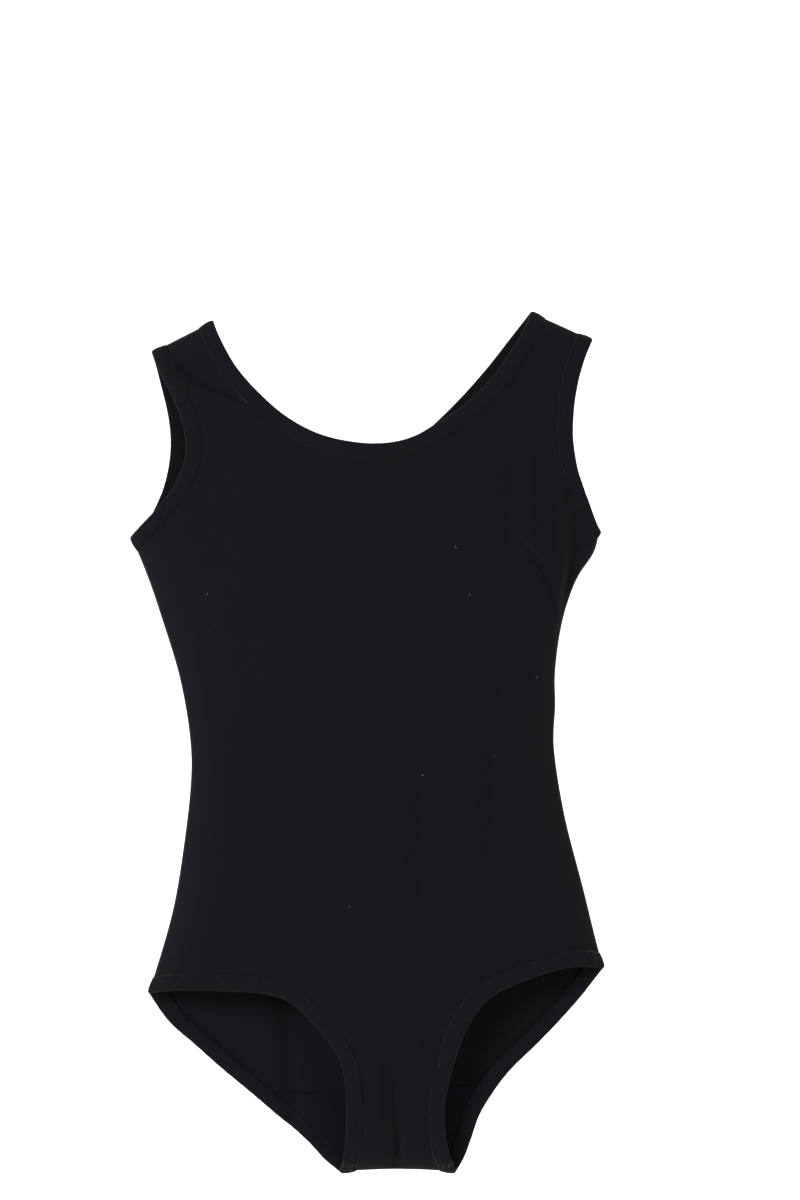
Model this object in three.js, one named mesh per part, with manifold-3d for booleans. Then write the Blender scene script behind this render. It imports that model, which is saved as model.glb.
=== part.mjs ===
// A black tank leotard for gymnastics, hanging from its two shoulder straps.
// Millimetres, +Z up, the front faces -Y. The origin lies between the straps, level with
// the top of the hanger that they rest on.
//
// The garment is drawn flat as a pattern: x is the distance from its middle line and z the
// height below the straps. hang() then moves a pattern point to where it lies on the hanger,
// and depth() gives how far the cloth stands forward or back of the plane of the seams.
// Every layer of cloth is a slab at its own offset from that surface, cut out by an outline.
import * as THREE from 'three';
import { mergeVertices } from 'three/addons/utils/BufferGeometryUtils.js';
import Module from 'manifold-3d';

const wasm = await Module();
wasm.setup();

const FRONT = -1;
const BACK = 1;
const LEFT = -1;
const RIGHT = 1;

// ---- Driving dimensions -------------------------------------------------------------
const strapTop = -3;            // height of the shoulder seam at the neck
const strapInner = 113;         // middle line to the neck end of the shoulder seam
const strapWidth = 43.5;
const strapDrop = 21;           // fall of the shoulder seam from neck to arm
const neckFall = { [FRONT]: 91, [BACK]: 105 };         // below the shoulder seam
const neckFlare = { [FRONT]: 2, [BACK]: 1.4 };         // power of the neckline's curve
const neckRound = { [FRONT]: 1 / 1.4, [BACK]: 1 };
const armholeDrop = 91;         // shoulder seam at the neck to where the armhole is deepest
const armholeHalf = { [FRONT]: 137, [BACK]: 141.5 };   // half width where the armhole is deepest
const underarmDrop = 154;       // shoulder seam at the neck to the underarm
const underarmHalf = 166;       // half width at the underarm
const waistDrop = 154;          // underarm to waist
const waistHalf = 128.5;
const hipDrop = 164;            // waist to the end of the side seam
const hipHalf = 161.5;
const crotchDrop = 136;         // end of the side seam to the crotch fold
const crotchHalf = 41;          // half width at the crotch fold
const gussetHalf = 34;          // half width where the crotch is narrowest
const gussetRise = 45;          // crotch fold to there
const liningRise = { [FRONT]: 71, [BACK]: 55 };        // length of the crotch lining each way
const dartTipHalf = 98;         // middle line to the bust end of the dart
const dartRise = [8, 41, 76];   // underarm down to the dart's tip, bend and foot
const dartInset = [25, 8];      // side seam to its bend and to its foot
const dartWidth = 6;            // width of the tuck at its foot
const dartTaper = 0.85;         // the share of it that is lost by the tip

const clothThick = 1;
const bandWidth = 11;           // width of the binding on every edge
const bandThick = 0.8;
const elasticWidth = 6.6;
const elasticThick = 0.7;
const seamWidth = 6;            // width of an overlocked seam allowance
const seamThick = 1;
const labelWidth = 30;
const labelLength = 22;
const labelThick = 0.6;
const labelOverlap = 7;         // how far the label reaches up over the neck binding
const gap = 0.3;                // clearance between touching layers
const seamGap = 0.25;           // half the clearance between front and back at a seam
const seamInset = 1.2;          // a seam allowance stands this far inside its seam
const crotchSeamInset = 2;      // the same at the crotch, where the lining passes below it
const crotchSeamEnds = 1;       // its clearance from the leg bindings
const edgeSlope = 1.2;          // how steeply the cloth turns away from a seam

// Levels between the shoulder and the crotch at which the cloth bends.
const between = (from, to, share) => from + (to - from) * share;
const shoulderFoot = strapTop - strapDrop;
const armholeLevel = strapTop - armholeDrop;
const underarmLevel = strapTop - underarmDrop;
const waistLevel = underarmLevel - waistDrop;
const hipLevel = waistLevel - hipDrop;
const crotchLevel = hipLevel - crotchDrop;
const gussetLevel = crotchLevel + gussetRise;
const torsoLevels = [
  underarmLevel,
  between(underarmLevel, waistLevel, 1 / 3),
  between(underarmLevel, waistLevel, 2 / 3),
  waistLevel,
  between(waistLevel, hipLevel, 1 / 3),
  between(waistLevel, hipLevel, 2 / 3),
  hipLevel,
];
const thighLevel = between(hipLevel, crotchLevel, 0.18);
const archLevel = between(hipLevel, crotchLevel, 0.5);

// Half the depth of the hanging garment at each level.
const bodyDepth = [[0, 12], [armholeLevel, 18], [torsoLevels[1], 22], [waistLevel, 16],
  [torsoLevels[5], 20], [archLevel, 16], [crotchLevel, 12]];
// How far the middle line has drifted to the right, by level, as the garment hangs askew.
const torsoDrift = [-5.3, -6.1, -2.8, 0.5, 3.4, 6, 3.5].map((value, i) => [torsoLevels[i], value]);
const drift = {
  [FRONT]: [[shoulderFoot, 0], [armholeLevel, 5], ...torsoDrift,
    [thighLevel, 19], [archLevel, 18.5], [crotchLevel, 16]],
  [BACK]: [[shoulderFoot, 0], [armholeLevel, -1.5], ...torsoDrift,
    [thighLevel, 2], [archLevel, 5], [crotchLevel, 16]],
};
// How much the right side is higher than the left, per millimetre across, by level.
const tilt = [[shoulderFoot, 0.028], [underarmLevel, -0.005], [torsoLevels[4], 0.056],
  [archLevel, 0.056], [crotchLevel, 0]];

// ---- Layers: offsets outwards from the middle of the cloth ----------------------------
const seamHalf = clothThick / 2 + seamGap;
const cloth = { inner: -clothThick / 2, outer: clothThick / 2 };
const bandOuter = { inner: cloth.outer + gap, outer: cloth.outer + gap + bandThick };
const elastic = { inner: cloth.inner - gap - elasticThick, outer: cloth.inner - gap };
const bandInner = { inner: elastic.inner - gap - bandThick, outer: elastic.inner - gap };
const web = { inner: bandInner.inner, outer: bandOuter.outer };

// ---- How the cloth hangs ----------------------------------------------------------------

// The value at level z of a list of [level, value] that goes down, straight between its rows.
function atLevel(rows, z) {
  if (z >= rows[0][0]) return rows[0][1];
  for (let i = 1; i < rows.length; i += 1) {
    const [z0, v0] = rows[i - 1];
    const [z1, v1] = rows[i];
    if (z >= z1) return between(v0, v1, (z0 - z) / (z0 - z1));
  }
  return rows[rows.length - 1][1];
}

// Half the width of the garment between its side seams, carried on above and below them.
function sideHalf(z) {
  const above = z > waistLevel;
  const end = above ? underarmLevel : hipLevel;
  const reach = ((above ? underarmHalf : hipHalf) - waistHalf);
  return waistHalf + reach * ((z - waistLevel) / (end - waistLevel)) ** (above ? 2 : 1.5);
}

function shoulderLevel(x) {
  return strapTop - strapDrop * Math.max(0, (Math.abs(x) - strapInner) / strapWidth);
}

// The rise of the cloth at distance t inside a seam, towards the height h far from it.
function rise(h, t) {
  return h > 0 ? h * (1 - Math.exp(-edgeSlope * t / h)) : h;
}

// Half the distance from the front cloth to the back cloth at a pattern point.
function depth(x, z) {
  const fromSide = rise(atLevel(bodyDepth, z), sideHalf(z) - Math.abs(x));
  const fromShoulder = rise(fromSide, shoulderLevel(x) - z);
  return seamHalf + rise(fromShoulder, z - crotchLevel);
}

function hang(side, x, z) {
  return new THREE.Vector2(x + atLevel(drift[side], z), z + atLevel(tilt, z) * x);
}

// ---- Solids -----------------------------------------------------------------------------

function toSolid(geometry) {
  geometry.deleteAttribute('normal');
  geometry.deleteAttribute('uv');
  const merged = mergeVertices(geometry, 1e-4);
  return new wasm.Manifold(new wasm.Mesh({
    numProp: 3,
    vertProperties: new Float32Array(merged.attributes.position.array),
    triVerts: new Uint32Array(merged.index.array),
  }));
}

function toGeometry(solid) {
  const mesh = solid.getMesh();
  const geometry = new THREE.BufferGeometry();
  geometry.setAttribute('position', new THREE.BufferAttribute(mesh.vertProperties, 3));
  geometry.setIndex(new THREE.BufferAttribute(mesh.triVerts, 1));
  geometry.computeVertexNormals();
  return geometry;
}

// The slab's columns, as shares of the half width at the underarm, with one at each edge of
// the strap.
const columns = [
  0,
  0.53 * strapInner,
  strapInner,
  strapInner + 0.57 * strapWidth,
  strapInner + strapWidth,
  underarmHalf,
  1.05 * underarmHalf,
].map((x) => x / underarmHalf);
const allColumns = [...columns.slice(1).reverse().map((share) => -share), ...columns];
// Its rows lie close together at the shoulder seam and the crotch fold, where the cloth turns.
const edgeRows = [-4, 0, 6, 18, 40];

function slabRows(share) {
  const shoulder = shoulderLevel(share * underarmHalf);
  return [
    ...edgeRows.map((below) => shoulder - below),
    armholeLevel, between(armholeLevel, underarmLevel, 0.5),
    ...torsoLevels, thighLevel, archLevel,
    ...edgeRows.map((above) => crotchLevel + above).reverse(),
  ];
}

// A box's two broad faces are divided along opposite diagonals. The second is turned to match
// the first, so that layers at different offsets stay parallel all over.
function matchDiagonals(box) {
  const { start, count } = box.groups[3];
  const corners = box.index.array;
  for (let i = start; i < start + count; i += 6) {
    const [a, b, d] = corners.slice(i, i + 3);
    const c = corners[i + 4];
    corners.set([a, b, c, a, c, d], i);
  }
}

// A layer of cloth over the whole front or back, between two offsets from the middle surface.
function slab(side, layer) {
  const across = allColumns.length - 1;
  const down = slabRows(0).length - 1;
  const box = new THREE.BoxGeometry(across, 1, down, across, 1, down);
  const place = box.attributes.position;
  for (let i = 0; i < place.count; i += 1) {
    const column = Math.round(place.getX(i) + across / 2);
    const row = Math.round(down / 2 - place.getZ(i));
    const z = slabRows(allColumns[column])[row];
    const x = allColumns[column] * sideHalf(Math.min(z, underarmLevel));
    const outside = place.getY(i) * side > 0;
    const y = side * (depth(x, z) + (outside ? layer.outer : layer.inner));
    const hung = hang(BACK, x, z);
    place.setXYZ(i, hung.x, y, hung.y);
  }
  matchDiagonals(box);
  return toSolid(box);
}

// An outline in x and z, made a prism that runs through the whole depth of the garment.
const prismReach = 80;
function prism(points) {
  const shape = new THREE.Shape(points);
  const block = new THREE.ExtrudeGeometry(shape, { depth: 2 * prismReach, bevelEnabled: false });
  block.rotateX(Math.PI / 2);
  block.translate(0, prismReach, 0);
  return toSolid(block);
}

// One half of space, with a sliver past the plane of the seams, so that two halves join there.
function halfSpace(side) {
  const sliver = 0.005;
  const block = new THREE.BoxGeometry(1000, prismReach, 1400);
  block.translate(0, side * (prismReach / 2 - sliver), crotchLevel / 2);
  return toSolid(block);
}

// ---- Outlines ---------------------------------------------------------------------------

function sample(points, count) {
  const curve = new THREE.SplineCurve(points.map(([x, z]) => new THREE.Vector2(x, z)));
  return curve.getPoints(count).map((point) => [point.x, point.y]);
}

const hungPath = (side, path) => path.map(([x, z]) => hang(side, x, z));
const mirrored = (hand, path) => path.map(([x, z]) => [hand * x, z]);

// The neckline from the left strap round to the right one, as a pattern path.
function neckPath(side) {
  const steps = 14;
  const path = [];
  for (let i = 0; i <= steps; i += 1) {
    const across = Math.sin(Math.PI * (i / steps - 0.5));
    const fall = Math.max(0, 1 - Math.abs(across) ** neckFlare[side]) ** neckRound[side];
    path.push([across * strapInner, strapTop - neckFall[side] * fall]);
  }
  return path;
}

// An armhole's edge from the shoulder seam down to the underarm, on the right.
function armPath(side) {
  const deepest = armholeHalf[side];
  const shoulder = strapInner + strapWidth;
  return sample([
    [shoulder, strapTop - strapDrop],
    [between(deepest, shoulder, 0.35), between(shoulderFoot, armholeLevel, 0.44)],
    [deepest, armholeLevel],
    [between(deepest, underarmHalf, 0.18), between(armholeLevel, underarmLevel, 0.43)],
    [underarmHalf, underarmLevel],
  ], 8);
}

const sidePath = () => torsoLevels.map((z) => [sideHalf(z), z]);

// A leg's edge from the hip down to the crotch fold, on the right. The front is cut high and
// square across the hip, and the back runs down to the crotch in a long slant.
function legPath(side) {
  const point = (across, down) => [
    between(gussetHalf, hipHalf, across), between(hipLevel, crotchLevel, down),
  ];
  const front = [point(0.61, 0), point(0.28, 0.085), point(0.086, 0.316), [gussetHalf, gussetLevel]];
  const back = [point(0.815, 0.184), point(0.415, 0.55), point(0.18, 0.81)];
  return sample([
    [hipHalf, hipLevel],
    ...(side === FRONT ? front : back),
    [crotchHalf, crotchLevel],
  ], side === FRONT ? 13 : 9);
}

// The edge from shoulder to crotch on one hand, as pattern paths in order, going down.
const flank = (side, hand) => mirrored(hand, [
  ...armPath(side), ...sidePath().slice(1), ...legPath(side).slice(1),
]);

function outline(side) {
  const points = [...neckPath(side), ...flank(side, RIGHT), ...flank(side, LEFT).reverse()];
  return prism(hungPath(side, points));
}

// A path carried on a little past both its ends.
const overrun = 4;
function stretched(path) {
  const beyond = (end, next) => end.clone().add(end.clone().sub(next).setLength(overrun));
  const last = path.length - 1;
  return [beyond(path[0], path[1]), ...path, beyond(path[last], path[last - 1])];
}

// A path moved sideways, to its right-hand side. The taper is the share of the distance that
// is lost by the path's end.
function aside(path, distance, taper = 0) {
  const last = path.length - 1;
  return path.map((point, i) => {
    const before = path[Math.max(0, i - 1)];
    const after = path[Math.min(last, i + 1)];
    const along = after.clone().sub(before).setLength(distance * (1 - taper * i / last));
    return new THREE.Vector2(point.x + along.y, point.y - along.x);
  });
}

// A strip that follows a path, from one distance to another on its right-hand side.
function strip(path, from, to) {
  const long = stretched(path);
  return prism([...aside(long, from), ...aside(long, to).reverse()]);
}

// The five edges that are bound, each with its path on the front and on the back. A path has
// the cloth on its right-hand side.
const arms = (side, hand) => hungPath(side, mirrored(hand, armPath(side)));
const legs = (side, hand) => hungPath(side, mirrored(hand, legPath(side)));
const edges = {
  neck: (side) => hungPath(side, neckPath(side)),
  armhole_left: (side) => arms(side, LEFT).reverse(),
  armhole_right: (side) => arms(side, RIGHT),
  leg_left: (side) => legs(side, LEFT).reverse(),
  leg_right: (side) => legs(side, RIGHT),
};

// ---- Pieces -----------------------------------------------------------------------------

const layerCache = new Map();
function layerSlab(side, layer) {
  const key = `${side} ${layer.inner} ${layer.outer}`;
  if (!layerCache.has(key)) layerCache.set(key, slab(side, layer));
  return layerCache.get(key);
}

// A closed ring of one layer round an edge: its front half joined to its back half.
function ring(edge, layer, from, to) {
  const half = (side) => layerSlab(side, layer)
    .intersect(strip(edges[edge](side), from, to))
    .intersect(halfSpace(side));
  return half(FRONT).add(half(BACK));
}

function binding(edge) {
  const outerPly = ring(edge, bandOuter, 0, bandWidth);
  const innerPly = ring(edge, bandInner, 0, bandWidth);
  return outerPly.add(innerPly).add(ring(edge, web, 0, bandThick));
}

// The front or the back, cut short of the fold of each binding.
function panel(side) {
  let piece = layerSlab(side, cloth).intersect(outline(side));
  for (const path of Object.values(edges)) {
    piece = piece.subtract(strip(path(side), -overrun, bandThick + gap));
  }
  return piece;
}

// The crotch lining: a short double strip, folded at the crotch, between the leg elastics.
function lining() {
  const clear = bandThick + gap + elasticWidth + gap;
  const half = (side) => {
    const edge = (leg) => aside(stretched(edges[leg](side)), clear);
    const low = (path) => path.filter((point) => point.y < crotchLevel + liningRise[side]);
    const shape = prism([...low(edge('leg_left')), ...low(edge('leg_right'))]);
    return layerSlab(side, elastic).intersect(shape).intersect(halfSpace(side));
  };
  return half(FRONT).add(half(BACK));
}

// A dart's tuck inside the front, from near the side seam to its point at the bust.
function dart(hand) {
  const [tipLevel, bendLevel, footLevel] = dartRise.map((drop) => underarmLevel - drop);
  const [bendInset, footInset] = dartInset;
  const line = sample([
    [sideHalf(footLevel) - footInset, footLevel],
    [sideHalf(bendLevel) - bendInset, bendLevel],
    [dartTipHalf, tipLevel],
  ], 8);
  const path = hungPath(FRONT, mirrored(hand, line));
  const edge = (width) => aside(path, width, dartTaper);
  const wedge = prism([...edge(dartWidth / 2), ...edge(-dartWidth / 2).reverse()]);
  return layerSlab(FRONT, elastic).intersect(wedge);
}

// A seam allowance: a flat strip in the plane of the seams, given as its two long edges.
function allowance(edge, inside) {
  const sheet = new THREE.BoxGeometry(1000, seamThick, 1400);
  sheet.translate(0, 0, crotchLevel / 2);
  return toSolid(sheet).intersect(prism([...edge, ...inside.reverse()]));
}

function sideSeam(hand) {
  const ends = bandWidth + 2 * seamInset;
  const path = sidePath().filter(([, z]) => z < underarmLevel - ends && z > hipLevel + ends);
  const inset = (distance) => hungPath(BACK, mirrored(hand,
    path.map(([x, z]) => [x - distance, z])));
  return allowance(inset(seamInset), inset(seamInset + seamWidth));
}

function shoulderSeam(hand) {
  const ends = [bandWidth + 2 * seamInset, strapWidth - bandWidth - 2 * seamInset];
  const inset = (distance) => hungPath(BACK, mirrored(hand, ends.map(
    (along) => [strapInner + along, shoulderLevel(strapInner + along) - distance])));
  return allowance(inset(seamInset), inset(seamInset + seamWidth));
}

function crotchSeam() {
  const rise = (crotchSeamInset + seamWidth) / gussetRise;
  const end = between(crotchHalf, gussetHalf, rise) - bandWidth - crotchSeamEnds;
  const ends = [-end, end];
  const inset = (distance) => hungPath(BACK, ends.map((x) => [x, crotchLevel + distance]));
  return allowance(inset(crotchSeamInset), inset(crotchSeamInset + seamWidth));
}

// The blank care label, sewn by its top edge over the inside of the neck binding at the back.
function label() {
  const neckBottom = strapTop - neckFall[BACK];
  const top = neckBottom - bandWidth + labelOverlap;
  const middle = hang(BACK, 0, top);
  const face = depth(0, neckBottom) + bandInner.inner - gap - labelThick / 2;
  const flap = new THREE.BoxGeometry(labelWidth, labelThick, labelLength);
  flap.translate(middle.x, face, top - labelLength / 2);
  return toSolid(flap);
}

// ---- The garment --------------------------------------------------------------------------

const jersey = { color: 0x1a191e, roughness: 0.92, metalness: 0 };
const jerseyTrim = { color: 0x1e1d22, roughness: 0.88, metalness: 0 };
const rubber = { color: 0x2b2a2d, roughness: 0.75, metalness: 0 };
const sewing = { color: 0x232227, roughness: 0.6, metalness: 0 };
const cotton = { color: 0x201f23, roughness: 0.97, metalness: 0 };
const satin = { color: 0xe4e2dd, roughness: 0.55, metalness: 0 };

const leotard = new THREE.Group();
function addPiece(name, solid, finish) {
  const mesh = new THREE.Mesh(toGeometry(solid), new THREE.MeshStandardMaterial(finish));
  mesh.name = name;
  leotard.add(mesh);
}

addPiece('front_panel', panel(FRONT), jersey);
addPiece('back_panel', panel(BACK), jersey);
addPiece('gusset_lining', lining(), cotton);
for (const edge of Object.keys(edges)) {
  const inside = bandThick + gap;
  addPiece(`${edge}_binding`, binding(edge), jerseyTrim);
  addPiece(`${edge}_elastic`, ring(edge, elastic, inside, inside + elasticWidth), rubber);
}
for (const [hand, name] of [[LEFT, 'left'], [RIGHT, 'right']]) {
  addPiece(`bust_dart_${name}`, dart(hand), jersey);
  addPiece(`side_seam_${name}`, sideSeam(hand), sewing);
  addPiece(`shoulder_seam_${name}`, shoulderSeam(hand), sewing);
}
addPiece('crotch_seam', crotchSeam(), sewing);
addPiece('care_label', label(), satin);

export default leotard;
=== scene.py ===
"""A black tank leotard for gymnastics, hanging from its two shoulder straps.

The garment is drawn as a flat pattern in millimetres, where x is the distance from its middle
line and z the height below the straps. The Drape class hangs a pattern point in space, and
every piece of cloth is a bmesh grid, cut flat, that the drape then hangs.
"""
import logging
import math
from dataclasses import dataclass, field
from enum import Enum
from typing import Callable

import bmesh
import bpy
import numpy as np
from mathutils import Matrix, Vector


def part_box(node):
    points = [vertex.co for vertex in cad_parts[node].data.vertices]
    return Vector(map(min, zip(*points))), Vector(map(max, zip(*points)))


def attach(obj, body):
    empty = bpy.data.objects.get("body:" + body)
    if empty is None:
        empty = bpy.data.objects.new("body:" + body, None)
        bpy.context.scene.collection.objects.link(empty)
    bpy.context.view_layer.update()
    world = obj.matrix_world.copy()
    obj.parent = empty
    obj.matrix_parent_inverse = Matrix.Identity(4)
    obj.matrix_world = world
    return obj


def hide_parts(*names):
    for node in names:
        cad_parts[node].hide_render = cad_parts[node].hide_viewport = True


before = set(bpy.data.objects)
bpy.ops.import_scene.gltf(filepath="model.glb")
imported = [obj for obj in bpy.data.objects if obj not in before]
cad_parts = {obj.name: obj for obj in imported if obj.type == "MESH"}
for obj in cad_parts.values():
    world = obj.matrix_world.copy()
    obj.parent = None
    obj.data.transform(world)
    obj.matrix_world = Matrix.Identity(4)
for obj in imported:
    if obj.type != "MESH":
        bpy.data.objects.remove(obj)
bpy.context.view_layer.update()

MM = 0.001
log = logging.getLogger("leotard")

Array = np.ndarray


class Side(Enum):
    """The front or the back of the garment, with the sign of its y."""

    FRONT = -1
    BACK = 1


class Hand(Enum):
    """The left or the right of the garment as it is looked at, with the sign of its x."""

    LEFT = -1
    RIGHT = 1


# ---- Small mathematics ---------------------------------------------------------------------


def smoothstep(low: float, high: float, value: Array) -> Array:
    """Rises smoothly from 0 at low to 1 at high."""
    t = np.clip((np.asarray(value, float) - low) / (high - low), 0, 1)
    return t * t * (3 - 2 * t)


def between(a: float, b: float, share: float) -> float:
    """The value a share of the way from a to b."""
    return a + (b - a) * share


def catmull(points: list[tuple[float, float]], count: int) -> Array:
    """Points along a smooth curve through a few given ones.

    Args:
        points: the points that the curve passes through.
        count: how many points to return.

    Returns:
        An array of count rows, spaced evenly along the curve.
    """
    p = np.array(points, float)
    step = np.linalg.norm(np.diff(p, axis=0), axis=1) ** 0.5
    rise = np.diff(p, axis=0) / step[:, None]
    slope = np.empty_like(p)
    slope[1:-1] = (step[1:, None] * rise[:-1] + step[:-1, None] * rise[1:]) / (
        step[:-1] + step[1:])[:, None]
    slope[0], slope[-1] = 1.5 * rise[0] - slope[1] / 2, 1.5 * rise[-1] - slope[-2] / 2
    t = np.linspace(0, 1, 30)[:, None]
    fine = [
        (2 * t**3 - 3 * t**2 + 1) * p[i] + (t**3 - 2 * t**2 + t) * step[i] * slope[i]
        + (3 * t**2 - 2 * t**3) * p[i + 1] + (t**3 - t**2) * step[i] * slope[i + 1]
        for i in range(len(step))
    ]
    return respaced(np.vstack(fine), count)


def lengths(path: Array) -> Array:
    """The distance along a path to each of its points."""
    steps = np.linalg.norm(np.diff(path, axis=0), axis=1)
    return np.concatenate([[0.0], np.cumsum(steps)])


def respaced(path: Array, count: int) -> Array:
    """The same path with count points, evenly spaced.

    Args:
        path: the path's points.
        count: how many points to return.

    Returns:
        An array of count rows.
    """
    along = lengths(path)
    at = np.linspace(0, along[-1], count)
    return np.stack([np.interp(at, along, path[:, k]) for k in range(path.shape[1])], axis=1)


def unit_rows(rows: Array) -> Array:
    """Each row made a unit vector."""
    return rows / np.linalg.norm(rows, axis=-1, keepdims=True)


def carried(path: Array, ways: Array, count: int) -> tuple[Array, Array]:
    """The same path with count points, evenly spaced, and the directions that go with them.

    Args:
        path: the path's points.
        ways: a direction for each of them.
        count: how many points to return.

    Returns:
        The new points, and a unit direction for each.
    """
    along = lengths(path)
    at = np.linspace(0, along[-1], count)
    turned = np.stack([np.interp(at, along, ways[:, k]) for k in range(ways.shape[1])], axis=1)
    return respaced(path, count), unit_rows(turned)


def inside(polygon: Array, points: Array) -> Array:
    """Which of the points lie inside a closed polygon.

    Args:
        polygon: the polygon's corners, in order.
        points: the points to test.

    Returns:
        True for each point that lies inside.
    """
    x, y = points[:, 0], points[:, 1]
    result = np.zeros(len(points), bool)
    for (x0, y0), (x1, y1) in zip(polygon, np.roll(polygon, -1, axis=0)):
        if y0 == y1:
            continue
        crosses = (y0 > y) != (y1 > y)
        result ^= crosses & (x < (x1 - x0) * (y - y0) / (y1 - y0) + x0)
    return result


def nearest(
    path: Array, points: Array, within: float = math.inf
) -> tuple[Array, Array, Array]:
    """The nearest point of a path to each point.

    Args:
        path: the path's points.
        points: the points to measure from.
        within: how far to look. Past it, a point's distance is infinite.

    Returns:
        Its distance, its distance along the path, and the point itself.
    """
    along = lengths(path)
    best = np.full(len(points), np.inf)
    where = np.zeros(len(points))
    spot = np.zeros_like(points)
    for i in range(len(path) - 1):
        a, d = path[i], path[i + 1] - path[i]
        low, high = np.minimum(a, a + d) - within, np.maximum(a, a + d) + within
        x, y = points[:, 0], points[:, 1]
        near = np.flatnonzero((x > low[0]) & (x < high[0]) & (y > low[1]) & (y < high[1]))
        if not len(near):
            continue
        off = points[near] - a
        t = np.clip((off @ d) / max(d @ d, 1e-12), 0, 1)
        off -= t[:, None] * d
        gap = np.hypot(off[:, 0], off[:, 1])
        closer = gap < best[near]
        pick = near[closer]
        best[pick] = gap[closer]
        where[pick] = along[i] + t[closer] * math.hypot(*d)
        spot[pick] = a + t[closer][:, None] * d
    return best, where, spot


def eased(rows: list[tuple[float, float]], z: Array) -> Array:
    """A smooth curve through (level, value) rows that go down, held level past both ends.

    Args:
        rows: the levels and their values.
        z: where to read the curve.

    Returns:
        The value at each level of z.
    """
    knots = np.array(sorted(rows), float)
    level, value = knots[:, 0], knots[:, 1]
    rise = np.diff(value) / np.diff(level)
    slope = np.zeros(len(level))
    steady = rise[:-1] * rise[1:] > 0
    both = rise[:-1] + rise[1:]
    slope[1:-1][steady] = 2 * (rise[:-1] * rise[1:])[steady] / both[steady]
    z = np.clip(z, level[0], level[-1])
    i = np.clip(np.searchsorted(level, z) - 1, 0, len(level) - 2)
    step = level[i + 1] - level[i]
    t = (z - level[i]) / step
    return (
        (2 * t**3 - 3 * t**2 + 1) * value[i] + (t**3 - 2 * t**2 + t) * step * slope[i]
        + (3 * t**2 - 2 * t**3) * value[i + 1] + (t**3 - t**2) * step * slope[i + 1]
    )


# ---- The pattern --------------------------------------------------------------------------


@dataclass(frozen=True)
class Pattern:
    """The sizes of the garment's flat pattern, in millimetres, as its solids have them."""

    strap_top: float = -3.0
    strap_inner: float = 113.0
    strap_width: float = 43.5
    strap_drop: float = 21.0
    armhole_level: float = -94.0
    underarm_level: float = -157.0
    underarm_half: float = 166.0
    waist_level: float = -311.0
    waist_half: float = 128.5
    hip_level: float = -475.0
    hip_half: float = 161.5
    crotch_level: float = field(default_factory=lambda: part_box("front_panel")[0].z / MM)
    crotch_half: float = 41.0
    lining_rise: tuple[float, float] = (71.0, 55.0)
    seam_half: float = 0.45
    edge_slope: float = 1.2

    def shoulder(self, x: Array) -> Array:
        """The level of the shoulder seam at x."""
        past = np.maximum(0, np.abs(x) - self.strap_inner) / self.strap_width
        return self.strap_top - self.strap_drop * past

    def side_half(self, z: Array) -> Array:
        """Half the width between the side seams at level z, carried on past both ends.

        Args:
            z: levels in the pattern, in millimetres.

        Returns:
            Half the width at each level, in millimetres.
        """
        z = np.asarray(z, float)
        up = np.maximum(0, (z - self.waist_level) / (self.underarm_level - self.waist_level))
        down = np.maximum(0, (z - self.waist_level) / (self.hip_level - self.waist_level))
        return (
            self.waist_half + (self.underarm_half - self.waist_half) * up**2
            + (self.hip_half - self.waist_half) * down**1.5
        )

    def side_seam(self, count: int = 120) -> Array:
        """The right side seam from the underarm down to the hip."""
        z = np.linspace(self.underarm_level, self.hip_level, count)
        return np.stack([self.side_half(z), z], 1)


def mirrored(path: Array, hand: Hand) -> Array:
    """A right-hand path moved to the given hand."""
    return path * np.array([hand.value, 1])


# ---- The drape ----------------------------------------------------------------------------


@dataclass(frozen=True)
class Fold:
    """A soft ridge in the hanging cloth, or a valley where its height is below zero.

    Its ends are places on the hanging garment, in millimetres from the origin.
    """

    side: Side
    start: tuple[float, float]
    end: tuple[float, float]
    width: float
    height: float

    def rise(self, place: Array) -> Array:
        """How far this fold lifts the cloth at each place.

        Args:
            place: where the cloth hangs, one row for each point.

        Returns:
            The lift of each point, in millimetres.
        """
        a, b = np.array(self.start), np.array(self.end)
        along = (b - a) / np.linalg.norm(b - a)
        run = (place - a) @ along
        off = (place - a) @ np.array([-along[1], along[0]])
        ends = 0.28 * np.linalg.norm(b - a)
        fade = smoothstep(-ends, ends, run) * smoothstep(-ends, ends, np.linalg.norm(b - a) - run)
        return self.height * np.exp(-((off / self.width) ** 2)) * fade


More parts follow.
